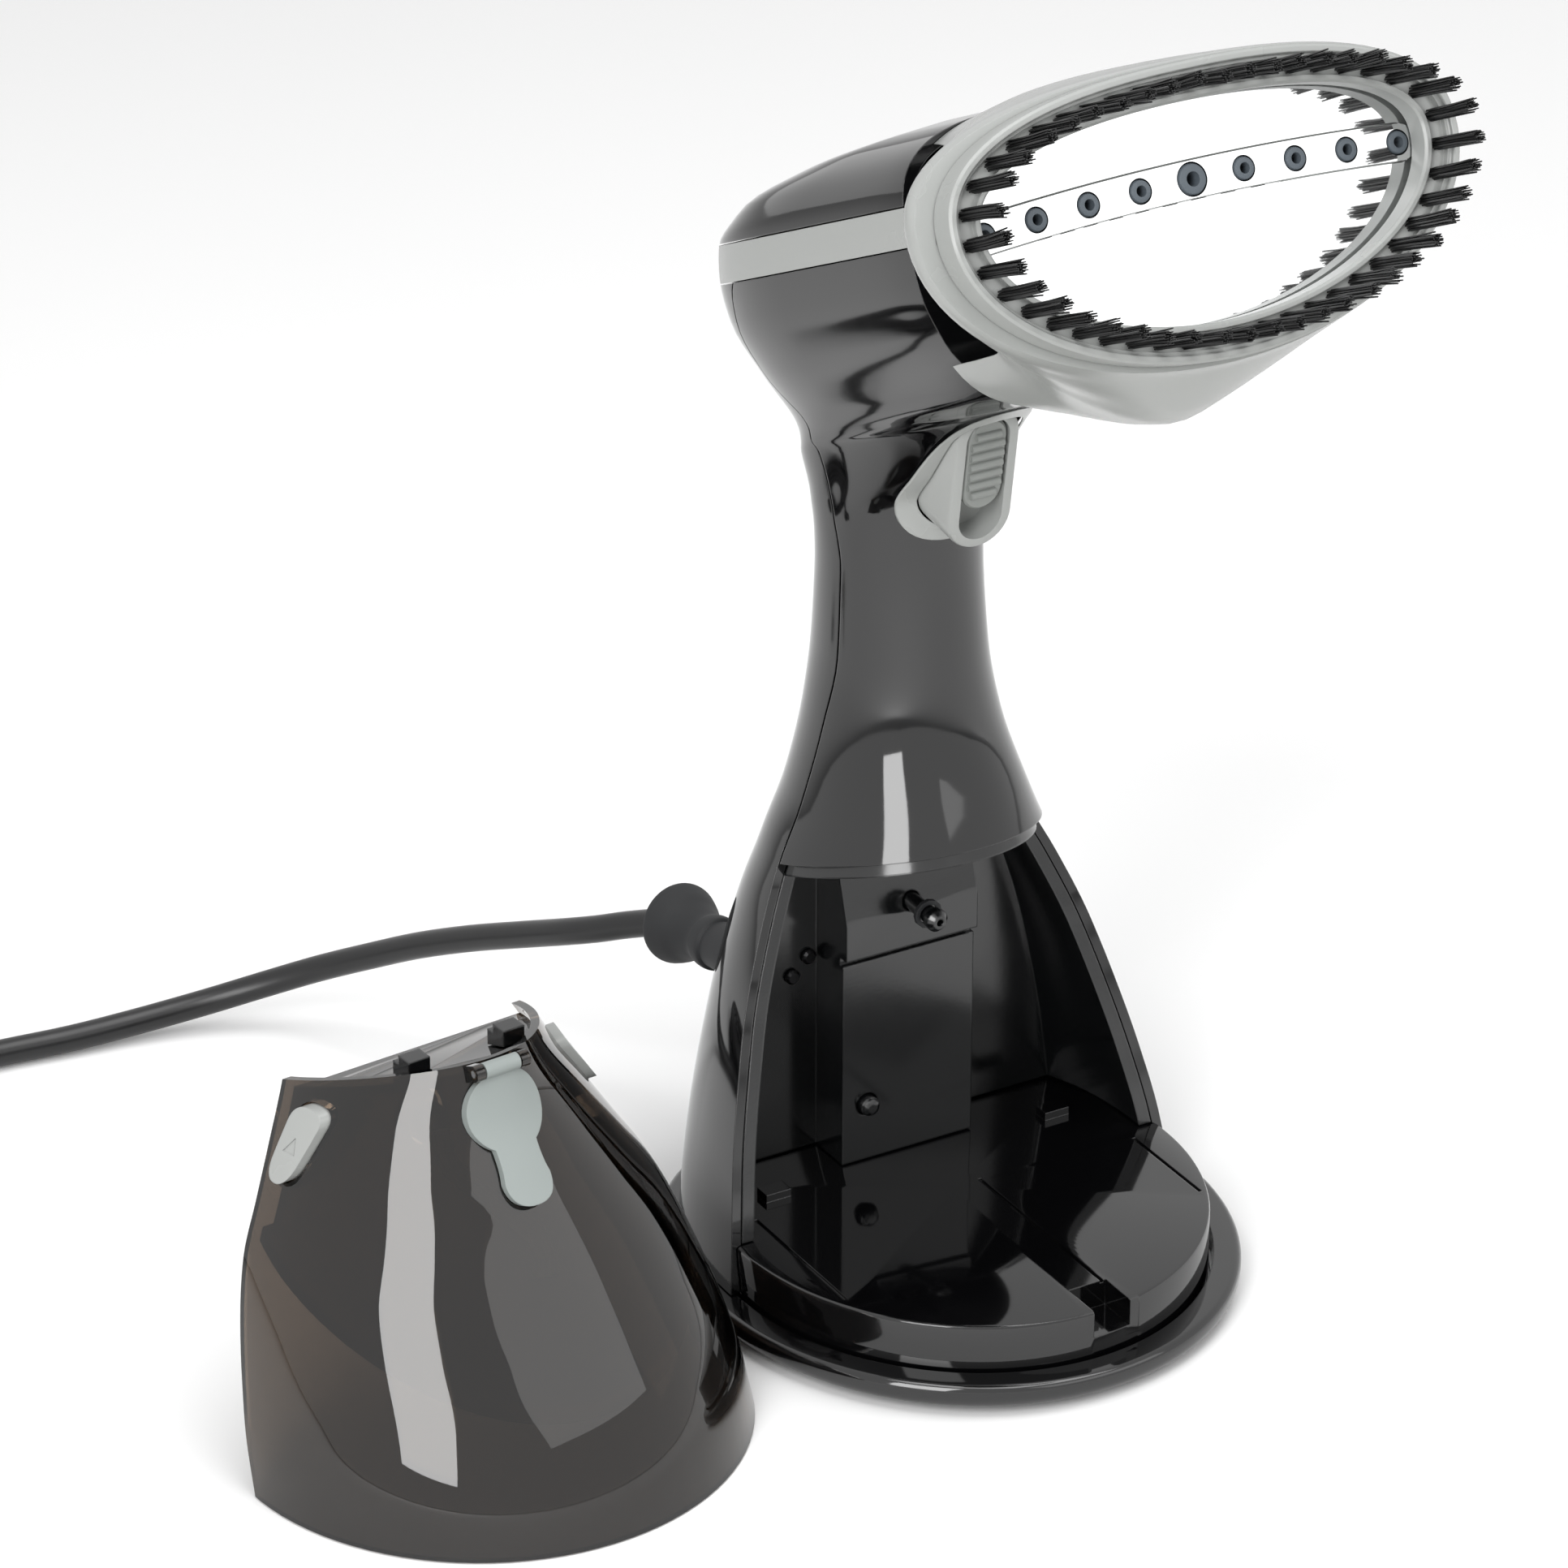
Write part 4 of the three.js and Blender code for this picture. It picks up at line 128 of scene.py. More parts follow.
# Rows between the given ones, smooth and with no overshoot
def smoothRows(rows, knots, parts):
    rows, knots = np.array(rows, float), np.array(knots, float)
    steps = np.diff(knots)
    slopes = np.diff(rows, axis=0) / steps[:, None]
    tangents = np.zeros_like(rows)
    tangents[0], tangents[-1] = slopes[0], slopes[-1]
    for i in range(1, len(rows) - 1):
        before, after = 2 * steps[i] + steps[i - 1], steps[i] + 2 * steps[i - 1]
        same = slopes[i - 1] * slopes[i] > 0
        low = np.where(same, slopes[i - 1], 1)
        high = np.where(same, slopes[i], 1)
        tangents[i] = np.where(same, (before + after) / (before / low + after / high), 0)
    made = []
    for i, step in enumerate(steps):
        for k in range(parts):
            t = k / parts
            made.append(
                rows[i] * (1 + 2 * t) * (1 - t) ** 2 + rows[i + 1] * t * t * (3 - 2 * t)
                + step * (tangents[i] * t * (1 - t) ** 2 + tangents[i + 1] * t * t * (t - 1))
            )
    made.append(rows[-1])
    return made


# A rounded section: its powers shape the far and the near half
def oval(count, half, far, near, farPower, nearPower):
    angles = (np.arange(count) + 0.5) / count * 2 * np.pi
    c, s = np.cos(angles), np.sin(angles)
    power = np.where(s > 0, farPower, nearPower)
    reachOut = (np.abs(c) ** power + np.abs(s) ** power) ** (-1 / power)
    return half * c * reachOut, np.where(s > 0, far, near) * s * reachOut


def prism(name, outline, low, high, matrix=Matrix()):
    count = len(outline)
    points = [matrix @ Vector((u, v, h)) for h in (low, high) for u, v in outline]
    faces = [tuple(range(count)), tuple(range(count, 2 * count))]
    faces += [(i, (i + 1) % count, count + (i + 1) % count, count + i) for i in range(count)]
    return outwards(newObject(name, points, faces))


def block(low, high, matrix=Matrix()):
    outline = [(low[0], low[1]), (high[0], low[1]), (high[0], high[1]), (low[0], high[1])]
    return prism("block", outline, low[2], high[2], matrix)


farAway = 600  # longer than the object
through = 75  # takes a cut right through a part of it


# Everything on the side of a plane that its normal points to
def beyond(point, normal):
    turn = Vector(normal).normalized().to_track_quat("Z", "Y").to_matrix().to_4x4()
    return block((-farAway, -farAway, 0), (farAway, farAway, farAway), Matrix.Translation(Vector(point)) @ turn)


# Turns a piece's across, up and out to where they point on the object
def axes(up, out):
    return Matrix(((1, 0, 0), (0, up.y, out.y), (0, up.z, out.z))).to_4x4()


def sidePrism(points, half=farAway):
    turn = Matrix(((0, 0, 1, 0), (1, 0, 0, 0), (0, 1, 0, 0), (0, 0, 0, 1)))
    return prism("side", points, -half, half, turn)


def lathe(name, profile, point, direction, count=48):
    turn = Vector(direction).normalized().to_track_quat("Z", "Y").to_matrix()
    rings = []
    for radius, height in profile:
        ring = []
        for i in range(count):
            angle, reach = (i + 0.5) / count * 2 * math.pi, max(radius, 0.01)
            at = Vector((reach * math.cos(angle), reach * math.sin(angle), height))
            ring.append(tuple(Vector(point) + turn @ at))
        rings.append(ring)
    return loft(name, rings)


def bar(start, end, radius, endRadius=None, count=36):
    along = Vector(end) - Vector(start)
    endRadius = radius if endRadius is None else endRadius
    return lathe("bar", [(radius, 0), (endRadius, along.length)], start, along, count)


def slotOutline(half, low, high, steps=14):
    arcs = [(math.pi * k / steps, high - half) for k in range(steps + 1)]
    arcs += [(math.pi * (1 + k / steps), low + half) for k in range(steps + 1)]
    return [(half * math.cos(a), centre + half * math.sin(a)) for a, centre in arcs]


def curvePoints(points, steps):
    points = [Vector(p) for p in points]
    ends = [points[0] * 2 - points[1], *points, points[-1] * 2 - points[-2]]
    made = []
    for i in range(1, len(ends) - 2):
        a, b, c, d = ends[i - 1:i + 3]
        for k in range(steps):
            t = k / steps
            made.append(0.5 * (
                2 * b + (c - a) * t + (2 * a - 5 * b + 4 * c - d) * t * t + (3 * b - a - 3 * c + d) * t ** 3
            ))
    made.append(points[-1])
    return made


def smoothProfile(points, steps=5):
    return [(p.x, p.y) for p in curvePoints([(x, y, 0) for x, y in points], steps)]


# Every finished piece: scaled to metres, shaded smooth up to an angle, on its body, in its finish
def placePiece(made, body, material, nodes=(), sharp=32):
    made.data.transform(Matrix.Scale(milli, 4))
    made.data.materials.clear()
    made.data.materials.append(material)
    for polygon in made.data.polygons:
        polygon.use_smooth = True
        polygon.material_index = 0
    made.data.set_sharp_from_angle(angle=math.radians(sharp))
    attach(made, body)
    if nodes:
        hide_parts(*nodes)
    return made


# Finishes
def linearColour(code, alpha=1.0):
    parts = [int(code[i:i + 2], 16) / 255 for i in (1, 3, 5)]
    return tuple(c / 12.92 if c <= 0.04045 else ((c + 0.055) / 1.055) ** 2.4 for c in parts) + (alpha,)


def addNode(tree, kind, settings=None, links=None):
    made = tree.nodes.new(kind)
    for key, value in (settings or {}).items():
        if key in made.inputs.keys() or isinstance(key, int):
            made.inputs[key].default_value = value
        else:
            setattr(made, key, value)
    for key, source in (links or {}).items():
        tree.links.new(source, made.inputs[key])
    return made


def startMaterial(name, settings):
    material = bpy.data.materials.new(name)
    material.use_nodes = True
    tree = material.node_tree
    tree.nodes.clear()
    surface = addNode(tree, "ShaderNodeBsdfPrincipled", settings)
    addNode(tree, "ShaderNodeOutputMaterial", {}, {"Surface": surface.outputs[0]})
    place = addNode(tree, "ShaderNodeTexCoord").outputs["Object"]
    return material, tree, surface, place


# Moulded plastics: base colour, how rough the mould left them, grain in mm and the height of that grain in mm
plastics = {
    "glossAbsMoulded": {
        "colour": "#060607", "rough": (0.04, 0.09), "grain": 6.0, "height": 0.003, "round": 0.35, "specular": 0.8,
    },
    "satinAbsMoulded": {
        "colour": "#0B0C0D", "rough": (0.12, 0.2), "grain": 1.2, "height": 0.005, "round": 0.6, "specular": 0.8,
    },
    "greyAbsMoulded": {"colour": "#A3A5A3", "rough": (0.2, 0.3), "grain": 0.35, "height": 0.006, "round": 0.3},
    "sliderGreyAbs": {"colour": "#868986", "rough": (0.32, 0.45), "grain": 0.35, "height": 0.008, "round": 0.2},
    "capGreyPolypropylene": {"colour": "#8F9694", "rough": (0.36, 0.48), "grain": 0.4, "height": 0.008, "round": 0.3},
    "nozzleGreyNylon": {"colour": "#565E65", "rough": (0.4, 0.55), "grain": 0.3, "height": 0.01, "round": 0.2},
    "whiteNylonMoulded": {"colour": "#D9DAD6", "rough": (0.4, 0.55), "grain": 0.5, "height": 0.01, "round": 0.2},
    "blackNylonBristle": {"colour": "#070708", "rough": (0.35, 0.55), "grain": 0.6, "height": 0.01, "round": 0},
    "guardRubber": {"colour": "#1A1B1D", "rough": (0.6, 0.75), "grain": 0.4, "height": 0.02, "round": 0.3},
    "footRubber": {"colour": "#161718", "rough": (0.75, 0.9), "grain": 0.5, "height": 0.03, "round": 0.2},
    "leadPvcExtruded": {"colour": "#141415", "rough": (0.28, 0.42), "grain": 2.5, "height": 0.02, "round": 0},
    "siliconeTube": {"colour": "#CFCFCA", "rough": (0.3, 0.4), "grain": 2.0, "height": 0.01, "round": 0},
}


# The slow patch of roughness is the handling and flow marks, and the fine bump is the mould's grain
def mouldedPlastic(name, spec):
    material, tree, surface, place = startMaterial(name, {
        "Base Color": linearColour(spec["colour"]), "IOR": 1.5, "Specular IOR Level": spec.get("specular", 0.5),
    })
    patches = addNode(tree, "ShaderNodeTexNoise", {"Scale": 1 / 0.03, "Detail": 4.0}, {"Vector": place})
    spread = addNode(
        tree, "ShaderNodeMapRange",
        {"From Min": 0.3, "From Max": 0.7, "To Min": spec["rough"][0], "To Max": spec["rough"][1]},
        {"Value": patches.outputs["Fac"]},
    )
    tree.links.new(spread.outputs[0], surface.inputs["Roughness"])
    grain = addNode(
        tree, "ShaderNodeTexNoise", {"Scale": 1 / (spec["grain"] * milli), "Detail": 2.0}, {"Vector": place},
    )
    bump = addNode(
        tree, "ShaderNodeBump", {"Strength": 1.0, "Distance": spec["height"] * milli}, {"Height": grain.outputs["Fac"]},
    )
    if spec["round"]:  # moulded edges are never sharp, so light catches them
        rounded = addNode(tree, "ShaderNodeBevel", {"samples": 4, "Radius": spec["round"] * milli})
        tree.links.new(rounded.outputs[0], bump.inputs["Normal"])
    tree.links.new(bump.outputs[0], surface.inputs["Normal"])
    return material


finishes = {name: mouldedPlastic(name, spec) for name, spec in plastics.items()}


# Smoked copolyester, polished mould: clear, brown-grey, darker where more walls lie behind one another
def smokedPlastic():
    material, tree, surface, place = startMaterial("smokedCopolyester", {
        "Base Color": linearColour("#473B30"), "IOR": 1.6, "Transmission Weight": 1.0, "Roughness": 0.02,
        "Specular IOR Level": 0.7,
    })
    flow = addNode(tree, "ShaderNodeTexNoise", {"Scale": 1 / 0.03, "Detail": 0.0}, {"Vector": place})
    bump = addNode(tree, "ShaderNodeBump", {"Strength": 1.0, "Distance": 0.00004}, {"Height": flow.outputs["Fac"]})
    tree.links.new(bump.outputs[0], surface.inputs["Normal"])
    return material


# Metals: colour, roughness, and polishing lines in mm along X
metals = {
    "mirrorPolishedSteel": {"colour": "#D6D7D7", "rough": (0.03, 0.06), "line": 0.4, "height": 0.0006},
    "blackOxideSteel": {"colour": "#2B2B2C", "rough": (0.3, 0.4), "line": 0.2, "height": 0.004},
    "zincPlatedSteel": {"colour": "#B4B6B8", "rough": (0.25, 0.4), "line": 0.2, "height": 0.004},
    "castAluminium": {"colour": "#A5A8AB", "rough": (0.45, 0.6), "line": 0.8, "height": 0.03},
    "nickelPlatedBrass": {"colour": "#C7C4B8", "rough": (0.15, 0.25), "line": 0.3, "height": 0.002},
}


def metalFinish(name, spec):
    material, tree, surface, place = startMaterial(name, {"Base Color": linearColour(spec["colour"]), "Metallic": 1.0})
    stretch = addNode(tree, "ShaderNodeMapping", {"Scale": (0.04, 1, 1)}, {"Vector": place})
    lines = addNode(
        tree, "ShaderNodeTexNoise", {"Scale": 1 / (spec["line"] * milli), "Detail": 3.0}, {"Vector": stretch.outputs[0]},
    )
    spread = addNode(
        tree, "ShaderNodeMapRange",
        {"From Min": 0.3, "From Max": 0.7, "To Min": spec["rough"][0], "To Max": spec["rough"][1]},
        {"Value": lines.outputs["Fac"]},
    )
    bump = addNode(
        tree, "ShaderNodeBump", {"Strength": 1.0, "Distance": spec["height"] * milli}, {"Height": lines.outputs["Fac"]},
    )
    tree.links.new(spread.outputs[0], surface.inputs["Roughness"])
    tree.links.new(bump.outputs[0], surface.inputs["Normal"])
    return material


finishes.update({name: metalFinish(name, spec) for name, spec in metals.items()})
finishes["smokedCopolyester"] = smokedPlastic()
print("finishes made")

# Lead: one length from the guard through the coil to the plug, on the points that the solids follow
lead = {
    "diameter": 6, "coilCentre": (-206, 221.5), "coilRadius": 36, "pitch": 6.5, "turns": 3.5, "layers": 2,
    "start": -77, "floor": 0.1, "stepsPerTurn": 18, "length": 1.95,
    "out": [
        (-26.5, 68.4, 56.1), (-26.7, 74.2, 55.1), (-28.9, 79.8, 53.3), (-32.6, 86.2, 50.8), (-36.9, 92.5, 48),
        (-40.9, 99.8, 45), (-45.3, 111, 40.3), (-51, 124.5, 34.6), (-57.3, 137.5, 28.5), (-63.8, 149, 22.2),
        (-71.5, 159.5, 16.2), (-81, 167.6, 11), (-93, 173.4, 7), (-108, 177, 4.6), (-124, 179.2, 3.5),
        (-140, 181.5, 3.2), (-156, 182.6, 3.1), (-170, 181, 3.1),
    ],
    "back": [(-217, 170.6, 9.2), (-228, 169.4, 8.3), (-240, 169.6, 7.7), (-252, 171, 7.5)],
}


def coilPoint(turns):
    perLayer = lead["turns"]
    layer = min(int(turns / perLayer), lead["layers"] - 1)
    within = turns - layer * perLayer
    outer = lead["coilRadius"] + lead["pitch"] * perLayer / 2
    radius = outer - lead["pitch"] * (within if layer % 2 == 0 else perLayer - within)
    level = layer
    for turnBack in range(1, lead["layers"]):
        away = turns - turnBack * perLayer
        if abs(away) < 0.25:
            level = turnBack - 0.5 + 2 * away
    angle = math.radians(lead["start"]) - 2 * math.pi * turns
    height = lead["diameter"] / 2 + lead["floor"] + level * lead["pitch"]
    x, y = lead["coilCentre"]
    return Vector((x + radius * math.cos(angle), y + radius * math.sin(angle), height))


def leadRoute():
    allTurns = lead["turns"] * lead["layers"]
    count = round(allTurns * lead["stepsPerTurn"])
    coil = [coilPoint(i / count * allTurns) for i in range(count + 1)]
    return curvePoints([*lead["out"], *coil, *lead["back"]], 4)


def makeLead():
    points = leadRoute()
    data = bpy.data.curves.new("mainsLead", "CURVE")
    data.dimensions = "3D"
    data.bevel_depth = lead["diameter"] / 2 * milli
    data.bevel_resolution = 5
    data.use_fill_caps = True
    spline = data.splines.new("POLY")
    spline.points.add(len(points) - 1)
    for point, at in zip(spline.points, points):
        point.co = (*(at * milli), 1)
    spline.use_smooth = True
    data.materials.append(finishes["leadPvcExtruded"])
    made = bpy.data.objects.new("mainsLead", data)
    scene.collection.objects.link(made)
    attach(made, "body")
    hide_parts("cord", "cord_coil", "cord_tail")
    return made


mainsLead = makeLead()

# Plug: a flat two-pin body on a round neck, lying on the table
plug = {"neck": 18, "tip": 5, "root": 7, "length": 34, "half": 17, "thickness": 15, "power": 3, "pin": 2.4, "pitch": 19}
tailEnd, tailBefore = Vector(lead["back"][-1]), Vector(lead["back"][-2])
plugAlong = (tailEnd - tailBefore).to_2d().to_3d().normalized()
plugSide = plugAlong.cross(Vector((0, 0, 1))).normalized()


def plugPoint(along, side, up):
    at = tailEnd + plugAlong * (along + 0.3) + plugSide * side
    return Vector((at.x, at.y, plug["thickness"] / 2 + up))


def makePlug():
    tall, half, neck, length = plug["thickness"] / 2, plug["half"], plug["neck"], plug["length"]
    rows = [
        (0, plug["tip"] - 0.6, plug["tip"] - 0.6, 2), (0.8, plug["tip"], plug["tip"], 2),
        (neck * 0.7, plug["root"], plug["root"] * 0.98, 2.2), (neck, plug["root"] * 1.4, tall, 2.6),
        (neck + length * 0.3, half * 0.85, tall, 3), (neck + length * 0.6, half, tall, 3.2),
        (neck + length - 1.2, half, tall, 3.2), (neck + length, half - 0.9, tall - 0.9, 3.2),
    ]
    rings = []
    for along, wide, high, power in smoothRows(rows, [row[0] for row in rows], 4):
        u, v = oval(40, wide, high, high, power, power)
        rings.append([tuple(plugPoint(along, a, b)) for a, b in zip(u, v)])
    made = loft("mainsPlug", rings)
    end = neck + length
    holes = [bar(plugPoint(end - 6.3, side * plug["pitch"] / 2, 0), plugPoint(end + 9, side * plug["pitch"] / 2, 0),
                 plug["pin"] + 0.3) for side in (-1, 1)]
    grooves = []
    for k in range(5):  # finger grips across the flat sides
        for side in (-1, 1):
            at = neck + length * (0.32 + 0.09 * k)
            grooves.append(bar(plugPoint(at, -half * 0.5, side * (tall + 0.3)),
                               plugPoint(at, half * 0.5, side * (tall + 0.3)), 0.7, count=12))
    return less(made, *holes, *grooves)


mainsPlug = placePiece(makePlug(), "body", finishes["leadPvcExtruded"], ["plug"], 40)
print("lead and plug made")

# Body: sections from the foot of the skirt to the dome of the head
gap = 0.3
slack = 0.4  # room round what slides or turns
wall = 2.2
body = {"height": 200, "half": 54.9, "front": 57.9, "back": 63, "seamGap": 0.6}
head = {
    "tilt": math.radians(25.2), "faceY": 75.5, "faceZ": 274.1, "half": 30, "rear": 164.6, "depth": 54, "dome": 14.7,
    "bandTop": 6, "bandBottom": -1.6, "joint": 59, "frontEnd": 45,
}
skirtRows = [  # front height, back height, front, back, half width, widest, seam, rear power
    (0, 0, 1.005, 1.003, 1.005, 0.5, 0.5, 2.4),
    (0.1, 0.1, 0.915, 0.992, 0.962, 0.511, 0.511, 2.35),
    (0.175, 0.175, 0.803, 0.976, 0.912, 0.525, 0.525, 2.3),
    (0.25, 0.25, 0.665, 0.952, 0.845, 0.537, 0.537, 2.25),
    (0.325, 0.325, 0.5, 0.921, 0.765, 0.547, 0.547, 2.2),
    (0.4, 0.4, 0.305, 0.897, 0.655, 0.545, 0.545, 2.1),
    (0.46, 0.46, 0.155, 0.865, 0.55, 0.545, 0.55, 2),
    (0.525, 0.525, 0.054, 0.825, 0.45, 0.51, 0.53, 2),
    (0.61, 0.61, -0.078, 0.786, 0.361, 0.49, 0.47, 2),
    (0.69, 0.68, -0.13, 0.768, 0.319, 0.495, 0.41, 2),
    (0.81, 0.74, -0.171, 0.751, 0.306, 0.49, 0.39, 2),
]
headRows = [  # level, front, rear, half width, widest, seam, front power, rear power
    (-1, 0.722, 0.977, 0.553, 0.543, 0.467, 2, 2),
    (-0.883, 0.655, 0.965, 0.563, 0.626, 0.57, 2, 2),
    (-0.713, 0.535, 0.953, 0.613, 0.67, 0.68, 2, 2.2),
    (-0.667, 0.41, 0.951, 0.64, 0.69, 0.77, 2.2, 2.2),
    (-0.574, 0.273, 0.952, 0.71, 0.67, 0.81, 3.5, 2.3),
    (-0.389, 0.273, 0.968, 0.883, 0.6, 0.85, 8, 2.5),
    (-0.18, 0.273, 0.995, 0.985, 0.569, 0.81, 8, 2.6),
    (-0.03, 0.273, 0.998, 0.996, 0.569, 0.766, 8, 2.6),
]
domeRows = [  # height over the dome, rear, half width, widest, front power, rear power
    (0, 0.984, 0.973, 0.569, 8, 2.6),
    (0.35, 0.945, 0.915, 0.5, 8, 2.6),
    (0.741, 0.79, 0.72, 0.51, 8, 2.6),
    (0.92, 0.6, 0.46, 0.76, 8, 2.6),
    (1, 0.5, 0.15, 0.8, 8, 2.6),
]


# A point of the head from its own axes: across, forwards out of the face, and up the face
def headPoint(across, forward, level):
    c, s = math.cos(head["tilt"]), math.sin(head["tilt"])
    return Vector((across, -head["faceY"] - forward * c + level * s, head["faceZ"] + forward * s + level * c))


headUp = Vector((0, math.sin(head["tilt"]), math.cos(head["tilt"])))
headForward = Vector((0, -math.cos(head["tilt"]), math.sin(head["tilt"])))
headTurn = axes(headUp, headForward)
facePlace = Matrix.Translation(headPoint(0, 0, 0)) @ headTurn  # across, up the face, forwards


def bodyStations(inset):
    rows = []
    for frontUp, backUp, front, back, half, widest, seam, rearPower in skirtRows:
        rows.append([
            -front * body["front"], frontUp * body["height"], back * body["back"], backUp * body["height"],
            half * body["half"], widest, seam, 2, rearPower,
        ])
    for level, front, rear, half, widest, seam, frontPower, rearPower in headRows:
        near, far = (headPoint(0, -share * head["rear"], level * head["depth"]) for share in (front, rear))
        rows.append([near.y, near.z, far.y, far.z, half * head["half"], widest, seam, frontPower, rearPower])
    for height, rear, half, widest, frontPower, rearPower in domeRows:
        level = head["bandTop"] + height * (head["dome"] - inset)
        near, far = headPoint(0, -head["frontEnd"], level), headPoint(0, -rear * head["rear"], level)
        rows.append([near.y, near.z, far.y, far.z, half * head["half"], widest, widest, frontPower, rearPower])
    knots = [0]
    for a, b in zip(rows, rows[1:]):
        knots.append(knots[-1] + max(math.dist(a[:2], b[:2]) + math.dist(a[2:4], b[2:4]), 1) / 2)
    return smoothRows(rows, knots, 5)


def bodySkin(inset):
    rings = []
    for frontY, frontZ, backY, backZ, half, widest, _, frontPower, rearPower in bodyStations(inset):
        front, back = Vector((0, frontY, frontZ)), Vector((0, backY, backZ))
        length = (back - front).length
        along = (back - front) / length
        middle = front + along * widest * length
        u, v = oval(
            around, max(half - inset, half / 3), (1 - widest) * length - inset, widest * length - inset,
            rearPower, frontPower,
        )
        rings.append([(x, middle.y + along.y * d, middle.z + along.z * d) for x, d in zip(u, v)])
    return loft("skin", rings)


def behindSeam(clearance):
    rows = bodyStations(0)[:5 * (len(skirtRows) + len(headRows) - 1) + 1]
    line = []
    for row in rows:
        at = Vector((row[0], row[1])).lerp(Vector((row[2], row[3])), row[6])
        line.append((at.x - clearance, at.y))
    top = farAway
    return sidePrism([(line[0][0], -farAway), *line, (line[-1][0], top), (farAway, top), (farAway, -farAway)])


def aboveHeight(height):
    return beyond((0, 0, height), (0, 0, 1))


def aboveLevel(level):
    return beyond(headPoint(0, 0, level), headUp)


def belowLevel(level):
    return beyond(headPoint(0, 0, level), -headUp)


def insideFront():
    return beyond(headPoint(0, -head["joint"] - gap, 0), -headForward)


collar = {"y": 25.6, "z": 92.5, "slope": 0.305, "lip": 3}


def aboveCollar(offset):
    return beyond((0, collar["y"], collar["z"] + offset), (0, collar["slope"], 1))


def belowCollar(offset):
    return beyond((0, collar["y"], collar["z"] + offset), (0, -collar["slope"], -1))


# Guard: a rubber sleeve that widens along the lead where it leaves the back, held by a flange inside the casing
guard = {
    "exit": (-26.5, 55, 58.2), "dip": math.radians(9), "root": 5.9, "mouth": 8.9, "waist": 5.2, "length": 20,
    "inside": 11.9, "flange": 7, "thick": 1.8, "share": 0.66,
}
guardOut = Vector((0, math.cos(guard["dip"]), -math.sin(guard["dip"])))


def guardPlace(distance):
    return Vector(guard["exit"]) + guardOut * distance


def guardHole():
    inside = guardPlace(-guard["inside"] + gap)
    return joined(
        bar(guardPlace(-guard["inside"]), guardPlace(through), guard["waist"] + gap * 2),
        bar(guardPlace(-guard["inside"] - 15), inside, guard["flange"] + gap * 2),
    )


screws = {"radius": 2.6, "heights": (118, 172)}


def skinBackAt(height):
    rows = bodyStations(0)
    for low, high in zip(rows, rows[1:]):
        if low[3] <= height <= high[3]:
            return low[2] + (height - low[3]) / (high[3] - low[3]) * (high[2] - low[2])
    return rows[-1][2]


trigger = {
    "lean": math.radians(8.5), "top": (0, -6.8, 201.4), "length": 33, "half": 7.4, "depth": 12, "pinHole": 1.6,
    "pinInset": 6, "slotHalf": 5, "slotDepth": 6.5, "slotTop": 2.6, "slotBottom": 2.2, "lockLength": 21, "lockHalf": 4.6,
    "lockProud": 0.9, "ribs": 7, "ribProud": 1.1, "ribWidth": 1.2, "plateProud": 1.5, "plateHalf": 11, "plateTop": 206,
    "plateBottom": 165.4, "plateTopHalf": 10, "plateDeep": 14.8, "plateSeat": 1.05,
}
triggerUp = Vector((0, -math.sin(trigger["lean"]), math.cos(trigger["lean"])))
triggerOut = Vector((0, -math.cos(trigger["lean"]), -math.sin(trigger["lean"])))
triggerPlace = Matrix.Translation(Vector(trigger["top"])) @ axes(triggerUp, triggerOut)


def triggerSlab(outline, low, high):
    return prism("slab", outline, low, high, triggerPlace)


def triggerOutline(extra):
    return slotOutline(trigger["half"] + extra, -trigger["length"] - extra, extra, 20)


def casingWall():
    return less(bodySkin(0), bodySkin(wall))


def makeRearCasing():
    made = kept(
        casingWall(), behindSeam(0), aboveHeight(7.3), belowLevel(head["bandBottom"] - gap), insideFront(),
    )
    holes = []
    for height in screws["heights"]:
        outside = Vector((0, skinBackAt(height) + wall, height))
        holes.append(bar(outside - Vector((0, wall * 4, 0)), outside, screws["radius"] + gap))
    made = less(made, guardHole(), *holes)
    made.name = "rearCasing"
    return made


def makeFrontCasing():
    bulkhead = kept(bodySkin(wall / 2), beyond(headPoint(0, -head["joint"] - gap - wall, 0), headForward))
    opening = triggerSlab(triggerOutline(0.8), -through, through)
    made = less(joined(casingWall(), bulkhead), behindSeam(body["seamGap"]), opening)
    made = kept(made, aboveCollar(0), belowLevel(head["bandBottom"] - gap), insideFront())
    made.name = "frontCasing"
    return made


placePiece(makeRearCasing(), "body", finishes["glossAbsMoulded"], ["rear_shell"])
placePiece(makeFrontCasing(), "body", finishes["glossAbsMoulded"], ["front_shell"])
bandTrim = kept(casingWall(), aboveLevel(head["bandBottom"]), belowLevel(head["bandTop"]), insideFront())
bandTrim.name = "bandTrim"
placePiece(bandTrim, "body", finishes["greyAbsMoulded"], ["band_trim"])
topCover = kept(casingWall(), aboveLevel(head["bandTop"] + gap), insideFront())
topCover.name = "topCover"
placePiece(topCover, "body", finishes["glossAbsMoulded"], ["top_cover"])
print("casings made")

# Base: an open ring, a plinth with ribs and a notch
base = {
    "half": 58.9, "centre": 2.5, "depth": 63.4, "rimLow": 1.4, "rimHeight": 7, "rimWidth": 5.9, "rimRound": 1.6,
    "rimFoot": 3, "groove": 1, "plinthHeight": 17.4, "plate": 2, "notch": (3, 9, 10, 6), "ribDepth": 0.6, "ribWidth": 0.8,
    "ribs": [(-43, -24, 13), (6.5, -46, 4), (44, -24, 2)], "catch": (34.6, 21.8, 6, 4, 1.8),
}


def baseRing(height, inset):
    u, v = oval(144, base["half"] - inset, base["depth"] - inset, base["depth"] - inset, 2.4, 2)
    return [(x, base["centre"] + y, height) for x, y in zip(u, v)]


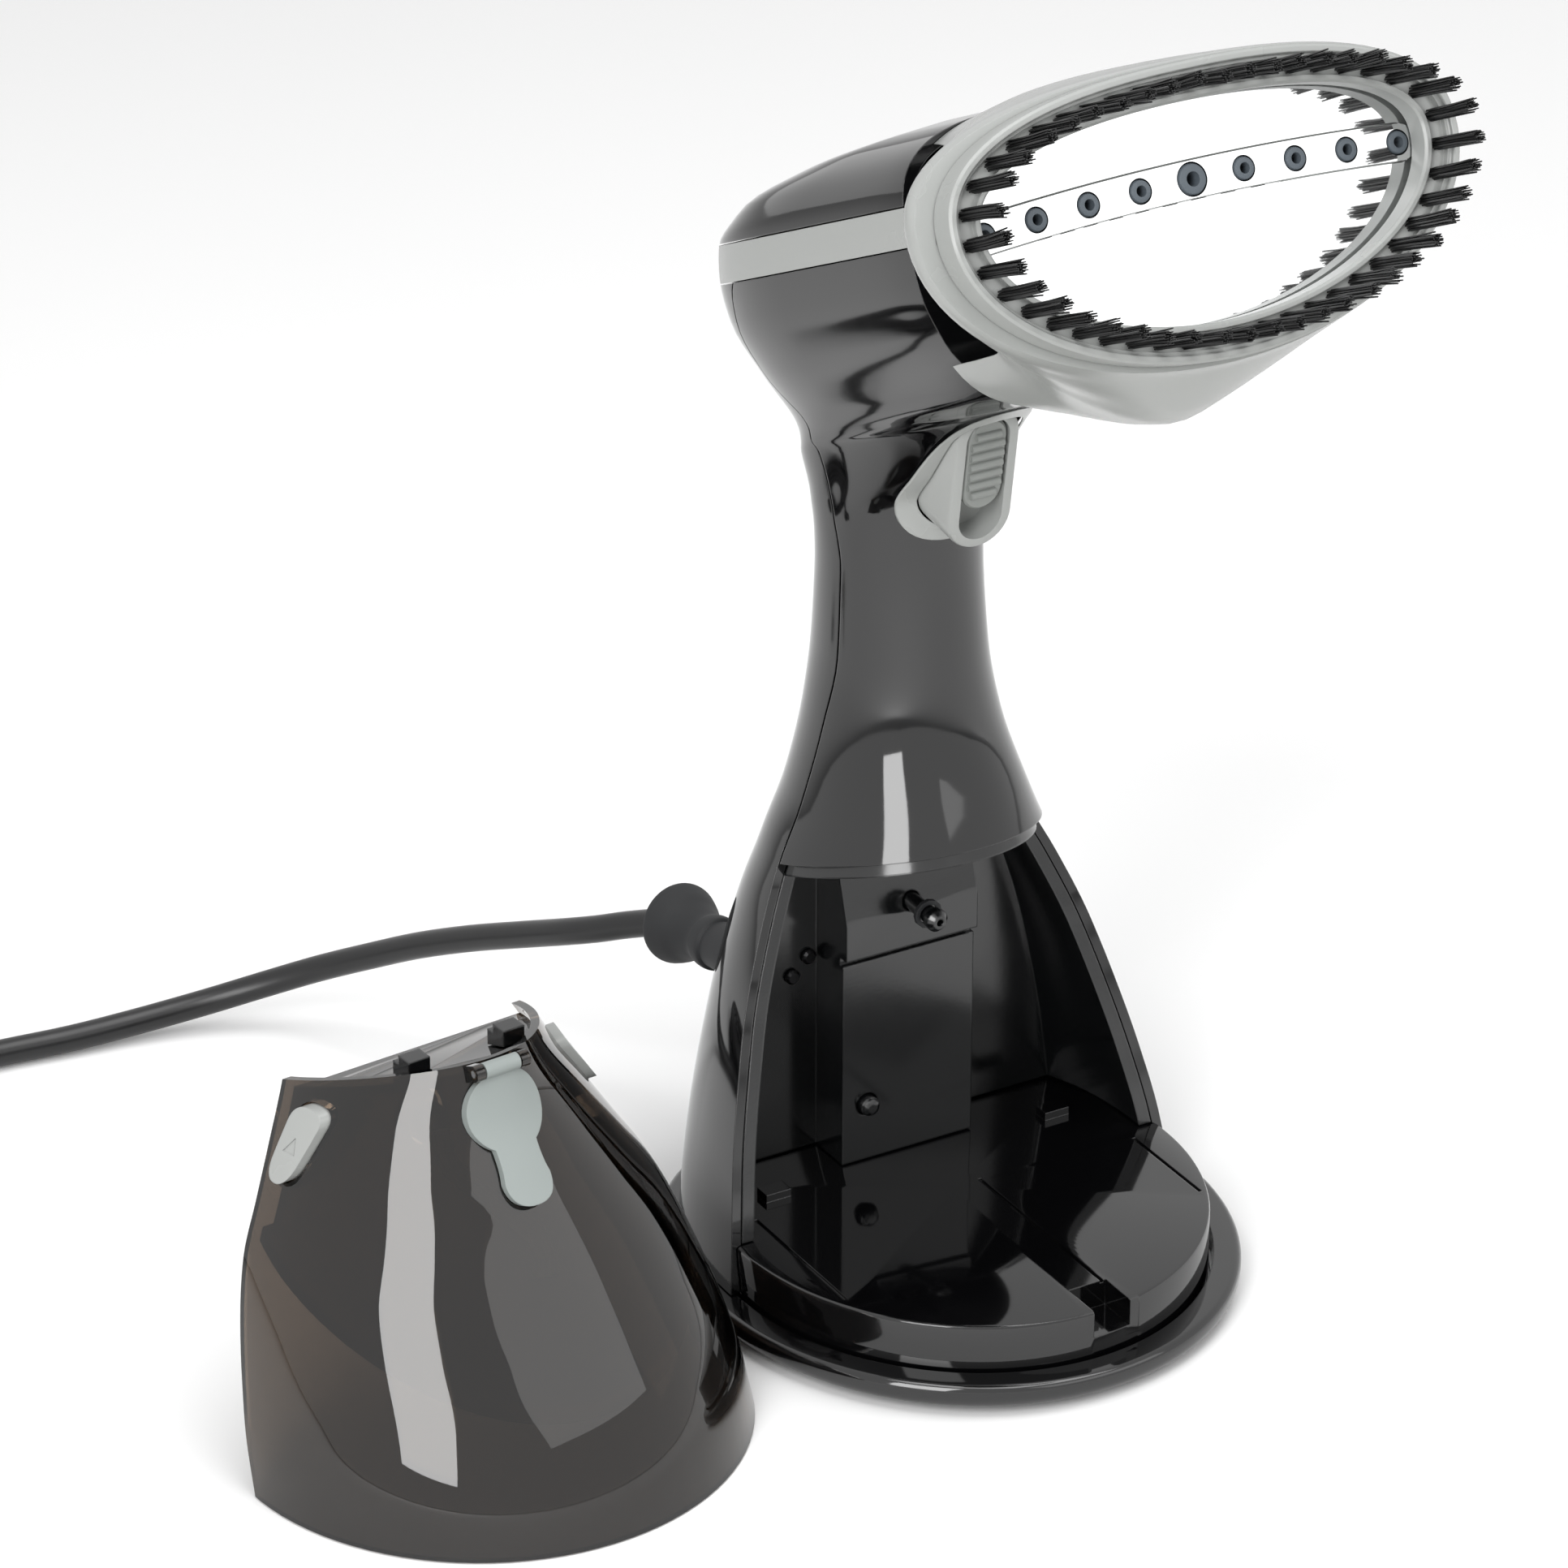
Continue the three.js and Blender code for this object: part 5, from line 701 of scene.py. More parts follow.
def makeBaseRim():
    low, high, foot, radius = base["rimLow"], base["rimHeight"], base["rimFoot"], base["rimRound"]
    rows = [(low, foot)]
    rows += [(low + foot * (1 - math.cos(a)), foot * (1 - math.sin(a))) for a in np.linspace(0.2, math.pi / 2, 8)]
    rows += [(high - radius + radius * math.sin(a), radius * (1 - math.cos(a))) for a in np.linspace(0, 1.5, 8)]
    made = loft("baseRim", [baseRing(height, inset) for height, inset in rows])
    return less(made, loft("cut", [baseRing(-50, base["rimWidth"]), baseRing(50, base["rimWidth"])]))


def makeBasePlinth():
    inset = base["rimWidth"] + base["groove"]
    front = base["centre"] - base["depth"] + inset
    high = base["plinthHeight"]
    made = loft("basePlinth", [
        baseRing(base["plate"] + gap, inset), baseRing(high - 0.8, inset), baseRing(high - 0.25, inset + 0.25),
        baseRing(high, inset + 0.8),
    ])
    hollow = loft("cut", [baseRing(-50, inset + wall), baseRing(high - wall, inset + wall)])
    x, width, length, depth = base["notch"]
    cup = block(
        (x - width / 2 - wall, front + 0.5, high - depth - wall),
        (x + width / 2 + wall, front + length + wall, high - 0.1),
    )
    notch = block((x - width / 2, front - wall, high - depth), (x + width / 2, front + length, 60))
    behind = kept(less(behindSeam(gap), bodySkin(wall + gap)), aboveHeight(base["rimHeight"]))
    made = joined(less(made, hollow), cup)
    made = less(made, notch, behind, *[
        block((at - base["ribWidth"] / 2, near, high - base["ribDepth"]), (at + base["ribWidth"] / 2, far, 60))
        for at, near, far in base["ribs"]
    ])
    at, back, width, depth, tall = base["catch"]
    return joined(made, *[
        block((side * at - width / 2, back - depth, high - 0.5), (side * at + width / 2, back, high + tall))
        for side in (-1, 1)
    ])


placePiece(makeBaseRim(), "body", finishes["glossAbsMoulded"], ["base_rim"])
placePiece(makeBasePlinth(), "body", finishes["glossAbsMoulded"], ["base_plinth"])

# Bay liner: closes the skirt towards the tank, with a column in its middle
bay = {
    "wall": 3, "backY": 34, "columnHalf": 16, "footY": 23, "topY": 21.5, "step": 67, "spoutZ": 77.5, "spoutRadius": 1.9,
    "buttonX": -10, "buttonZ": 31, "buttonRadius": 2.2, "screws": [(-22.2, 60), (-18.2, 63.8)], "screwRadius": 1.7,
    "grooveLow": 65.4, "grooveHigh": 67.2, "grooveDepth": 1.3, "guardEnd": 17.9,
}


def columnBlock(inset):
    foot, top, shelf = bay["footY"] + inset, bay["topY"] + inset, bay["step"]
    return sidePrism([(foot, -150), (foot, shelf), (top, shelf), (top, 150), (150, 150), (150, -150)],
                     bay["columnHalf"] - inset)


def columnFront(height):
    return bay["topY"] if height > bay["step"] else bay["footY"]


def makeBayLiner():
    region = joined(
        kept(behindSeam(0), belowCollar(0)), kept(aboveCollar(-collar["lip"]), belowCollar(collar["lip"])),
    )
    deep = wall + gap + bay["wall"]
    frontRoom = less(bodySkin(deep), beyond((0, bay["backY"], 0), (0, 1, 0)), columnBlock(0))
    frontRoom = kept(frontRoom, belowCollar(-collar["lip"] - gap))
    backRoom = joined(beyond((0, bay["backY"] + bay["wall"], 0), (0, 1, 0)), columnBlock(bay["wall"]))
    backRoom = kept(joined(kept(backRoom, belowCollar(gap)), aboveCollar(0)), bodySkin(deep))
    made = kept(bodySkin(wall + gap), region, aboveHeight(base["plinthHeight"] + gap))
    holes = [
        bar(guardPlace(-bay["guardEnd"]), guardPlace(through), guard["flange"] + gap * 2),
        block(
            (-bay["columnHalf"] - 1, -10, bay["grooveLow"]),
            (bay["columnHalf"] + 1, bay["footY"] + bay["grooveDepth"], bay["grooveHigh"]),
        ),
    ]
    spout = Vector((0, columnFront(bay["spoutZ"]), bay["spoutZ"]))
    button = Vector((bay["buttonX"], bay["footY"], bay["buttonZ"]))
    along = Vector((0, 90, 0))
    holes.append(bar(spout - along, spout + along, bay["spoutRadius"] + gap))
    holes.append(bar(button - along, button + along, bay["buttonRadius"] + slack))
    for x, z in bay["screws"]:
        low = Vector((x, bay["backY"] - bay["wall"], z))
        holes.append(bar(low, low + Vector((0, 12, 0)), bay["screwRadius"] / 2 + gap))
    made = less(made, frontRoom, backRoom, *holes)
    made.name = "bayLiner"
    return made


placePiece(makeBayLiner(), "body", finishes["satinAbsMoulded"], ["bay_liner"])
print("base and bay made")


def makeGuard():
    length, inside = guard["length"], guard["inside"]
    behind, core = inside + guard["thick"], lead["diameter"] / 2
    waist, root, mouth = guard["waist"], guard["root"], guard["mouth"]
    sleeve = smoothProfile([
        (waist, length * 0.08), (root, length * 0.12), (root, length * 0.24), (waist * 1.02, length * 0.36),
        (waist * 1.08, length * 0.48), (mouth * 0.72, length * 0.62), (mouth * 0.86, length * 0.76),
        (mouth * 0.97, length * 0.9), (mouth, length * 0.96), (mouth * 0.98, length), (mouth * 0.9, length * 1.01),
        (mouth * 0.7, length * 0.96),
    ])
    profile = [
        (0, -behind - 3.6), (core, -behind - 3.6), (core, -behind), (guard["flange"], -behind),
        (guard["flange"], -inside), (waist, -inside), *sleeve, (core + gap * 2, length * guard["share"]),
        (0, length * guard["share"]),
    ]
    return lathe("leadGuard", profile, guardPlace(0), guardOut, 56)


placePiece(makeGuard(), "body", finishes["guardRubber"], ["cord_guard"], 40)

# Head: housing, soleplate and nozzles
housing = {"mouth": 60.2, "top": 23.4, "chin": 45, "wall": 2.4, "bezel": 2.6}
housingRows = [  # place, half width, top, bottom, top power, bottom power
    (0.02, 0.982, 0.93, 0.765, 2.45, 2),
    (-0.034, 1, 0.962, 0.782, 2.45, 2),
    (-0.12, 0.965, 0.978, 0.84, 2.35, 1.85),
    (-0.2, 0.91, 0.99, 0.895, 2.3, 1.75),
    (-0.3, 0.84, 0.997, 0.955, 2.25, 1.6),
    (-0.41, 0.765, 1, 0.99, 2.2, 1.55),
    (-0.56, 0.665, 0.992, 0.98, 2.2, 1.6),
    (-0.76, 0.56, 0.957, 0.91, 2.2, 2.1),
    (-1, 0.49, 0.893, 0.822, 2.2, 2.9),
]
face = {
    "half": 51.8, "top": 17.6, "bottom": 29.8, "centre": -1, "topPower": 2.4, "bottomPower": 1.95, "plate": 1.2,
    "proud": 0.9, "stripHalf": 3.6, "stripEnd": 50, "bow": 2.1, "pitch": 11.44, "nozzle": 2.2, "middleNozzle": 3,
    "nozzleProud": 0.9, "carrier": 1.6, "margin": 2.6,
}
ring = {
    "inside": 3.1, "outside": 4.1, "floor": 5.3, "ridge": 1.1, "ridgeWidth": 1.6, "seat": 0.3, "slotHalf": 1.75,
    "slotDepth": 1.3, "peg": 1.6, "pegLength": 6, "pegOut": 2,
}


def housingRing(row, inset, along=None):
    place, half, top, bottom, topPower, bottomPower = row
    forward = place * head["joint"] if along is None else along
    u, v = oval(
        around, half * housing["mouth"] - inset, top * housing["top"] - inset, bottom * housing["chin"] - inset,
        topPower, bottomPower,
    )
    return [tuple(headPoint(x, forward, w)) for x, w in zip(u, v)]


def facePoints(extra, count=around):
    u, v = oval(
        count, face["half"] + extra, face["top"] + extra - face["centre"], face["bottom"] + extra + face["centre"],
        face["topPower"], face["bottomPower"],
    )
    return [(x, w + face["centre"]) for x, w in zip(u, v)]


def faceSlab(extra, low, high):
    return loft("slab", [[tuple(headPoint(x, f, w)) for x, w in facePoints(extra)] for f in (low, high)])


def makeHousing():
    rows = smoothRows(housingRows, [-row[0] for row in housingRows], 6)
    made = loft("nozzleHousing", [housingRing(row, 0) for row in rows])
    inner = [housingRing(housingRows[1], housing["wall"], -housing["bezel"])]
    inner += [housingRing(row, housing["wall"]) for row in rows if row[0] < -0.1]
    inner.append(housingRing(housingRows[-1], housing["wall"], -head["joint"] - housing["wall"]))
    pegs = []
    for side in (-1, 1):
        at = side * (face["half"] + ring["pegOut"])
        pegs.append(bar(
            headPoint(at, -ring["pegLength"] - gap, face["centre"]), headPoint(at, through, face["centre"]),
            ring["peg"] + slack,
        ))
    return less(
        made, loft("inner", inner), faceSlab(-ring["inside"] + face["margin"] + gap, -through, through),
        beyond(headPoint(0, 0, 0), headForward), *pegs,
    )


def stripLevel(x):
    return -face["bow"] * (x / face["stripEnd"]) ** 2


def stripOutline(extra):
    half, steps = face["stripHalf"] + extra, 24
    end = face["stripEnd"] - face["stripHalf"]
    lower = [(end * (2 * i / steps - 1), stripLevel(end * (2 * i / steps - 1)) - half) for i in range(steps + 1)]
    upper = [(-x, stripLevel(x) + half) for x, _ in lower]
    caps = [[
        (side * (end + half * math.cos(a)), stripLevel(end) + side * half * math.sin(a))
        for a in np.linspace(-math.pi / 2, math.pi / 2, 11)[1:-1]
    ] for side in (1, -1)]
    return [*lower, *caps[0], *upper, *caps[1]]


def makeSoleplate():
    proud, thick = face["proud"], face["plate"]
    made = faceSlab(-ring["inside"] + face["margin"], -thick - proud, -proud)
    shoulder = loft("strip", [
        [tuple(headPoint(x, f, w)) for x, w in stripOutline(extra)]
        for f, extra in ((-proud - 0.6, 0.25), (-proud, 0.25), (-proud + 0.12, 0.08), (-0.12, 0.02), (0, -0.12))
    ])
    made = joined(made, shoulder)
    holes = []
    for k in range(-4, 5):
        x = k * face["pitch"]
        radius = (face["middleNozzle"] if k == 0 else face["nozzle"]) + gap
        holes.append(bar(headPoint(x, -through, stripLevel(x)), headPoint(x, through, stripLevel(x)), radius))
    made = less(made, *holes)
    made.name = "soleplatePressed"
    return made


def makeNozzles():
    back = -face["plate"] - face["proud"] - gap - face["carrier"]
    made = prism("nozzleStrip", stripOutline(-1.2), back, back + face["carrier"], facePlace)
    bodies, bores = [], []
    for k in range(-4, 5):
        x = k * face["pitch"]
        radius = face["middleNozzle"] if k == 0 else face["nozzle"]
        tip = face["nozzleProud"] / 2
        rise = tip - back
        profile = [(radius, 0), (radius, rise - 1.1), (radius * 0.93, rise - 0.7), (radius * 0.8, rise - 0.6)]
        bodies.append(lathe("nozzle", profile, headPoint(x, back + 0.6, stripLevel(x)), headForward, 32))
        bores.append(bar(
            headPoint(x, back - 1, stripLevel(x)), headPoint(x, tip + 0.6, stripLevel(x)), 0.8, radius * 0.5, 20,
        ))
    return less(joined(made, *bodies), *bores)


def makeTray():
    inside, outside, floor = ring["inside"], ring["outside"], ring["floor"]
    ridge, edge, slot = floor + ring["ridge"], outside - ring["ridgeWidth"], ring["slotHalf"]
    soft = 0.5
    profile = [
        (-inside, ring["seat"]), (outside, ring["seat"]), (outside, ridge - soft), (outside - soft, ridge),
        (edge + 0.2, ridge), (edge, ridge - 0.2), (edge, floor + 0.2), (edge - 0.2, floor), (slot, floor),
        (slot, floor - ring["slotDepth"]), (-slot, floor - ring["slotDepth"]), (-slot, floor),
        (-inside + soft, floor), (-inside, floor - soft),
    ]
    loops = [[tuple(headPoint(x, f, w)) for x, w in facePoints(extra, 144)] for extra, f in profile]
    faces = []
    for k in range(len(loops)):
        a, b = k * 144, (k + 1) % len(loops) * 144
        faces += [(a + i, a + (i + 1) % 144, b + (i + 1) % 144, b + i) for i in range(144)]
    made = outwards(newObject("bristleTray", [p for loop in loops for p in loop], faces))
    pegs = []
    for side in (-1, 1):
        at = side * (face["half"] + ring["pegOut"])
        pegs.append(bar(
            headPoint(at, -ring["pegLength"], face["centre"]), headPoint(at, floor / 2, face["centre"]), ring["peg"],
        ))
    return joined(made, *pegs)


# Bristles: stiff nylon in tufts, each tuft splayed and uneven at its tip
bristles = {"tufts": 44, "strands": 26, "length": 14.3, "radius": 0.21, "tuft": 1.2, "tip": 1.5}


def makeBristles():
    random.seed(7)
    loop = facePoints(0, 360)
    lengths = [0]
    for a, b in zip(loop, loop[1:] + loop[:1]):
        lengths.append(lengths[-1] + math.dist(a, b))
    low = ring["floor"] - ring["slotDepth"] + 0.1
    points, faces = [], []
    for tuft in range(bristles["tufts"]):
        goal = (tuft + 0.5) / bristles["tufts"] * lengths[-1]
        i = max(k for k in range(len(loop)) if lengths[k] <= goal)
        t = (goal - lengths[i]) / (lengths[i + 1] - lengths[i])
        a, b = loop[i], loop[(i + 1) % len(loop)]
        centre = (a[0] + (b[0] - a[0]) * t, a[1] + (b[1] - a[1]) * t)
        sway = random.uniform(0, 2 * math.pi)
        lean = (random.uniform(0.3, 1) * 0.5 * math.cos(sway), random.uniform(0.3, 1) * 0.5 * math.sin(sway))
        for strand in range(bristles["strands"]):
            angle = strand * 2.399963 + sway
            out = math.sqrt((strand + 0.5) / bristles["strands"])
            length = bristles["length"] * random.uniform(0.93, 1.0)
            spread = bristles["tip"] * random.uniform(0.8, 1.1)
            first = len(points)
            rows = (0, bristles["tuft"], 1), (0.55, bristles["tuft"] * 1.05, 1), (1, spread, 0.75)
            for share, reachOut, thin in rows:
                bend = share * share
                x = centre[0] + out * reachOut * math.cos(angle) + lean[0] * bend
                w = centre[1] + out * reachOut * math.sin(angle) + lean[1] * bend
                for corner in range(4):
                    turn = angle + corner * math.pi / 2
                    r = bristles["radius"] * thin
                    points.append(headPoint(
                        x + r * math.cos(turn), low + share * (ring["floor"] + length - low), w + r * math.sin(turn),
                    ))
            for row in (0, 4):
                for k in range(4):
                    j = (k + 1) % 4
                    faces.append((first + row + k, first + row + j, first + row + 4 + j, first + row + 4 + k))
            faces.append(tuple(first + 8 + k for k in range(4)))
            faces.append(tuple(first + 3 - k for k in range(4)))
    return newObject("bristleTufts", points, faces)


placePiece(makeHousing(), "body", finishes["greyAbsMoulded"], ["nozzle_housing"])
placePiece(makeSoleplate(), "body", finishes["mirrorPolishedSteel"], ["soleplate"], 25)
placePiece(makeNozzles(), "body", finishes["nozzleGreyNylon"], ["nozzle_strip"])
placePiece(makeTray(), "brush", finishes["greyAbsMoulded"], ["brush_ring"])
placePiece(
    makeBristles(), "brush", finishes["blackNylonBristle"],
    ["bristles_upper_right", "bristles_upper_left", "bristles_lower_left", "bristles_lower_right"], 60,
)
print("head made")


# Trigger group on the neck's front
def bezier(points, steps=12):
    made = []
    for a, b, c, d in points:
        for k in range(steps):
            t = k / steps
            made.append(tuple(
                a[n] * (1 - t) ** 3 + 3 * b[n] * t * (1 - t) ** 2 + 3 * c[n] * t * t * (1 - t) + d[n] * t ** 3
                for n in (0, 1)
            ))
    return made


def plateOutline():
    wide, narrow = trigger["plateHalf"], trigger["plateTopHalf"]
    top = (trigger["plateTop"] - trigger["top"][2]) / math.cos(trigger["lean"])
    low = (trigger["plateBottom"] - trigger["top"][2]) / math.cos(trigger["lean"])
    third, last = top + (low - top) * 0.45, top + (low - top) * 0.92
    side = (third + last) / 2
    return bezier([
        ((0, top), (narrow, top), (wide * 0.9, third), (wide, side)),
        ((wide, side), (wide * 1.06, last), (wide * 0.9, low), (0, low)),
        ((0, low), (-wide * 0.9, low), (-wide * 1.06, last), (-wide, side)),
        ((-wide, side), (-wide * 0.9, third), (-narrow, top), (0, top)),
    ])


def makeSurround():
    made = kept(triggerSlab(plateOutline(), -trigger["plateDeep"], through), bodySkin(-trigger["plateProud"] - gap))
    made = less(made, bodySkin(-trigger["plateSeat"]), triggerSlab(triggerOutline(slack), -90, 90), aboveLevel(head["bandBottom"] - gap))
    made.name = "triggerSurround"
    return made


def triggerPoint(across, up, out):
    return triggerPlace @ Vector((across, up, out))


def makeTriggerKey():
    edge = 0.9
    outlines = [(-trigger["depth"], 0), (-edge, 0), (-edge * 0.3, -edge * 0.3), (0, -edge)]
    made = loft("triggerKey", [
        [tuple(triggerPoint(u, v, out)) for u, v in triggerOutline(grow)] for out, grow in outlines
    ])
    slotLow, slotHigh = -trigger["length"] + trigger["slotBottom"], -trigger["slotTop"]
    slot = slotOutline(trigger["slotHalf"], slotLow, slotHigh, 20)
    made = less(made, triggerSlab(slot, -trigger["slotDepth"], through))
    out = -trigger["depth"] + trigger["pinInset"] / 2
    pin = bar(triggerPoint(-30, -trigger["pinInset"], out), triggerPoint(30, -trigger["pinInset"], out), trigger["pinHole"])
    return less(made, pin)


def makeLockSlider():
    top = -trigger["slotTop"] - gap
    low = top - trigger["lockLength"]
    flat = trigger["lockProud"] - trigger["ribProud"]
    half = trigger["lockHalf"]
    made = loft("lockSlider", [
        [tuple(triggerPoint(u, v, out)) for u, v in slotOutline(half + grow, low - grow, top + grow, 20)]
        for out, grow in ((-trigger["slotDepth"] + gap, 0), (flat - 0.5, 0), (flat, -0.5))
    ])
    inner = trigger["lockLength"] - 1.6 * half
    ribs = []
    for i in range(trigger["ribs"]):
        at = top - half * 0.8 - inner * i / (trigger["ribs"] - 1)
        side = half * (0.82 if 0 < i < trigger["ribs"] - 1 else 0.62)
        ribs.append(bar(
            triggerPoint(-side, at, flat), triggerPoint(side, at, flat), trigger["ribWidth"] * 0.72, count=16,
        ))
    return joined(made, *ribs)


placePiece(makeSurround(), "body", finishes["greyAbsMoulded"], ["trigger_plate"])
placePiece(makeTriggerKey(), "trigger", finishes["greyAbsMoulded"], ["trigger"])
placePiece(makeLockSlider(), "steam_lock", finishes["sliderGreyAbs"], ["steam_lock"])
print("trigger made")

# Tank: smoked shell, inner reservoir, cap and release buttons, in its own place turned by 5 degrees
tank = {
    "at": (-114.9, 1.6, 0), "turn": math.radians(5), "height": 86, "corner": 74.5, "wall": 2, "half": 54.9, "front": 57.9,
    "cutLow": -2, "cutTop": 26.1, "floorFront": 18.5, "floorCorner": 44, "backInset": 2.4,
    "buttonY": 14, "buttonZ": 66.6, "buttonHalf": 4, "buttonHeight": 14, "buttonProud": 2, "buttonInto": 3, "travel": 1.8,
    "cap": 8.6, "capProud": 2.4, "capZ": 75.5, "hingeZ": 84.3, "tab": 4, "stem": 4.4, "stemTip": 2.2, "stemLength": 3,
    "thumb": 19.6, "thumbHalf": 5.3, "pin": 0.8, "knuckle": 1.7, "lug": 2, "outlet": 4.4,
}
tankRows = [  # height, half width, front
    (0, 1, 1), (0.12, 0.985, 0.955), (0.25, 0.95, 0.87), (0.4, 0.895, 0.71), (0.52, 0.83, 0.57), (0.63, 0.73, 0.445),
    (0.74, 0.63, 0.315), (0.87, 0.515, 0.195), (1, 0.42, 0.137),
]
tankMatrix = Matrix.Translation(Vector(tank["at"])) @ Matrix.Rotation(tank["turn"], 4, "Z")
cutSlope = (tank["cutTop"] - tank["cutLow"]) / tank["corner"]


def cutY(z):
    return tank["cutLow"] + cutSlope * z


def tankSkin(inset):
    rings = []
    for height, half, front in smoothRows(tankRows, [row[0] for row in tankRows], 6):
        z = height * tank["height"]
        u, v = oval(
            around, half * tank["half"] - inset, cutY(z) + front * tank["front"] - inset,
            cutY(z) + front * tank["front"] - inset, 2, 2,
        )
        rings.append([(x, cutY(z) + y, z) for x, y in zip(u, v)])
    return loft("tankSkin", rings)


def tankFront(clearance):
    return sidePrism([(cutY(-150) - clearance, -150), (cutY(150) - clearance, 150), (-150, 150), (-150, -150)])


def tankBelow(drop):
    slope = (tank["height"] - tank["corner"]) / (tank["cutTop"] + tank["front"] * tankRows[-1][2])
    return beyond((0, tank["cutTop"], tank["corner"] - drop), (0, -slope, -1))


floorSlope = (tank["floorCorner"] - tank["floorFront"]) / (tank["front"] + cutY(tank["floorFront"]))


def reservoirAbove(offset):
    return beyond((0, -tank["front"], tank["floorFront"] + offset), (0, -floorSlope, 1))


def flatRow(z):  # where the faceted solid's front lies, which carries the cap's axes
    heights = [row[0] * tank["height"] for row in tankRows]
    fronts = [-row[2] * tank["front"] for row in tankRows]
    return Vector((0, float(np.interp(z, heights, fronts)), z))


capUp = (flatRow(tank["hingeZ"]) - flatRow(tank["capZ"] - tank["cap"])).normalized()
capOut = Vector((1, 0, 0)).cross(capUp).normalized()
capMatrix = Matrix.Translation(flatRow(tank["capZ"])) @ axes(capUp, capOut)
hingeRise = tank["knuckle"] + gap * 2
capHinge = (tank["hingeZ"] - tank["capZ"]) / capUp.z


def hingePoint(across):
    at = flatRow(tank["hingeZ"]) + capOut * hingeRise
    return Vector((across, at.y, at.z))


def capSlab(outline, low, high):
    return prism("slab", outline, low, high, capMatrix)


def circle(radius, count=48):
    angles = [2 * math.pi * k / count for k in range(count)]
    return [(radius * math.cos(a), radius * math.sin(a)) for a in angles]


def quadratic(points, steps=10):
    made = []
    for a, b, c in points:
        made += [tuple(a[n] * (1 - t) ** 2 + 2 * b[n] * t * (1 - t) + c[n] * t * t for n in (0, 1))
                 for t in (k / steps for k in range(steps))]
    return made


def buttonOutline(extra):
    half, tall = tank["buttonHalf"] + extra, tank["buttonHeight"] / 2 + extra
    return quadratic([
        ((-half, tall * 0.55), (-half, tall), (0, tall)), ((0, tall), (half, tall), (half, tall * 0.55)),
        ((half, tall * 0.55), (half * 0.95, 0), (half * 0.85, -tall * 0.5)),
        ((half * 0.85, -tall * 0.5), (half * 0.7, -tall), (0, -tall)),
        ((0, -tall), (-half * 0.7, -tall), (-half * 0.85, -tall * 0.5)),
        ((-half * 0.85, -tall * 0.5), (-half * 0.95, 0), (-half, tall * 0.55)),
    ])


def buttonSide(side):
    turn = Matrix(((0, 0, 1, 0), (1, 0, 0, tank["buttonY"]), (0, 1, 0, tank["buttonZ"]), (0, 0, 0, 1)))
    return (0, through, turn) if side > 0 else (-through, 0, turn)


def buttonBlock(side, extra):
    return prism("button", buttonOutline(extra), *buttonSide(side))


def outletPoint(out):
    z = bay["spoutZ"] - base["plinthHeight"]
    return Vector((0, cutY(z) - tank["backInset"] + out, z))


def makeTankShell():
    made = kept(less(tankSkin(0), tankSkin(tank["wall"])), tankFront(0), tankBelow(0))
    lugs = []
    for side in (-1, 1):
        near = side * (tank["tab"] + gap)
        far = near + side * tank["lug"]
        knuckle = bar(hingePoint(near), hingePoint(far), tank["knuckle"])
        inner = hingePoint((near + far) / 2) - capOut * (hingeRise + tank["wall"])
        place = Matrix.Translation(inner) @ axes(capUp, capOut)
        foot = block((-1, -tank["knuckle"], 0), (1, tank["knuckle"], hingeRise + tank["wall"]), place)
        lugs.append(less(joined(knuckle, foot), tankSkin(tank["wall"])))
    made = joined(made, *lugs)
    made = less(
        made, bar(hingePoint(-through), hingePoint(through), tank["pin"] + gap),
        capSlab(circle(tank["stem"] + slack), -through, through), buttonBlock(-1, slack), buttonBlock(1, slack),
    )
    made.name = "tankShell"
    return made


def makeReservoir():
    thick, back = tank["wall"], tank["backInset"]
    made = kept(tankSkin(thick + gap), tankFront(back), tankBelow(thick), reservoirAbove(0))
    inside = kept(tankSkin(thick * 2 + gap), tankFront(back + thick), tankBelow(thick * 2), reservoirAbove(thick))
    front = kept(beyond((0, cutY(tank["corner"]) - thick * 4, 0), (0, -1, 0)), tankSkin(thick - gap))
    front = kept(less(front, tankSkin(thick * 2 + gap * 2)), reservoirAbove(thick), tankBelow(thick * 2))
    made = less(made, inside, front)
    depth = tank["buttonInto"] + tank["travel"] + gap
    for side in (-1, 1):
        cup = kept(less(tankSkin(thick + gap), tankSkin(depth + thick)), buttonBlock(side, slack + thick), tankFront(back))
        made = less(joined(made, cup), less(buttonBlock(side, slack), tankSkin(depth)))
    made = less(
        made, capSlab(circle(tank["stem"] + slack), -through, through),
        bar(outletPoint(-through), outletPoint(through), tank["outlet"] + gap * 2),
    )
    made.name = "tankReservoir"
    return made


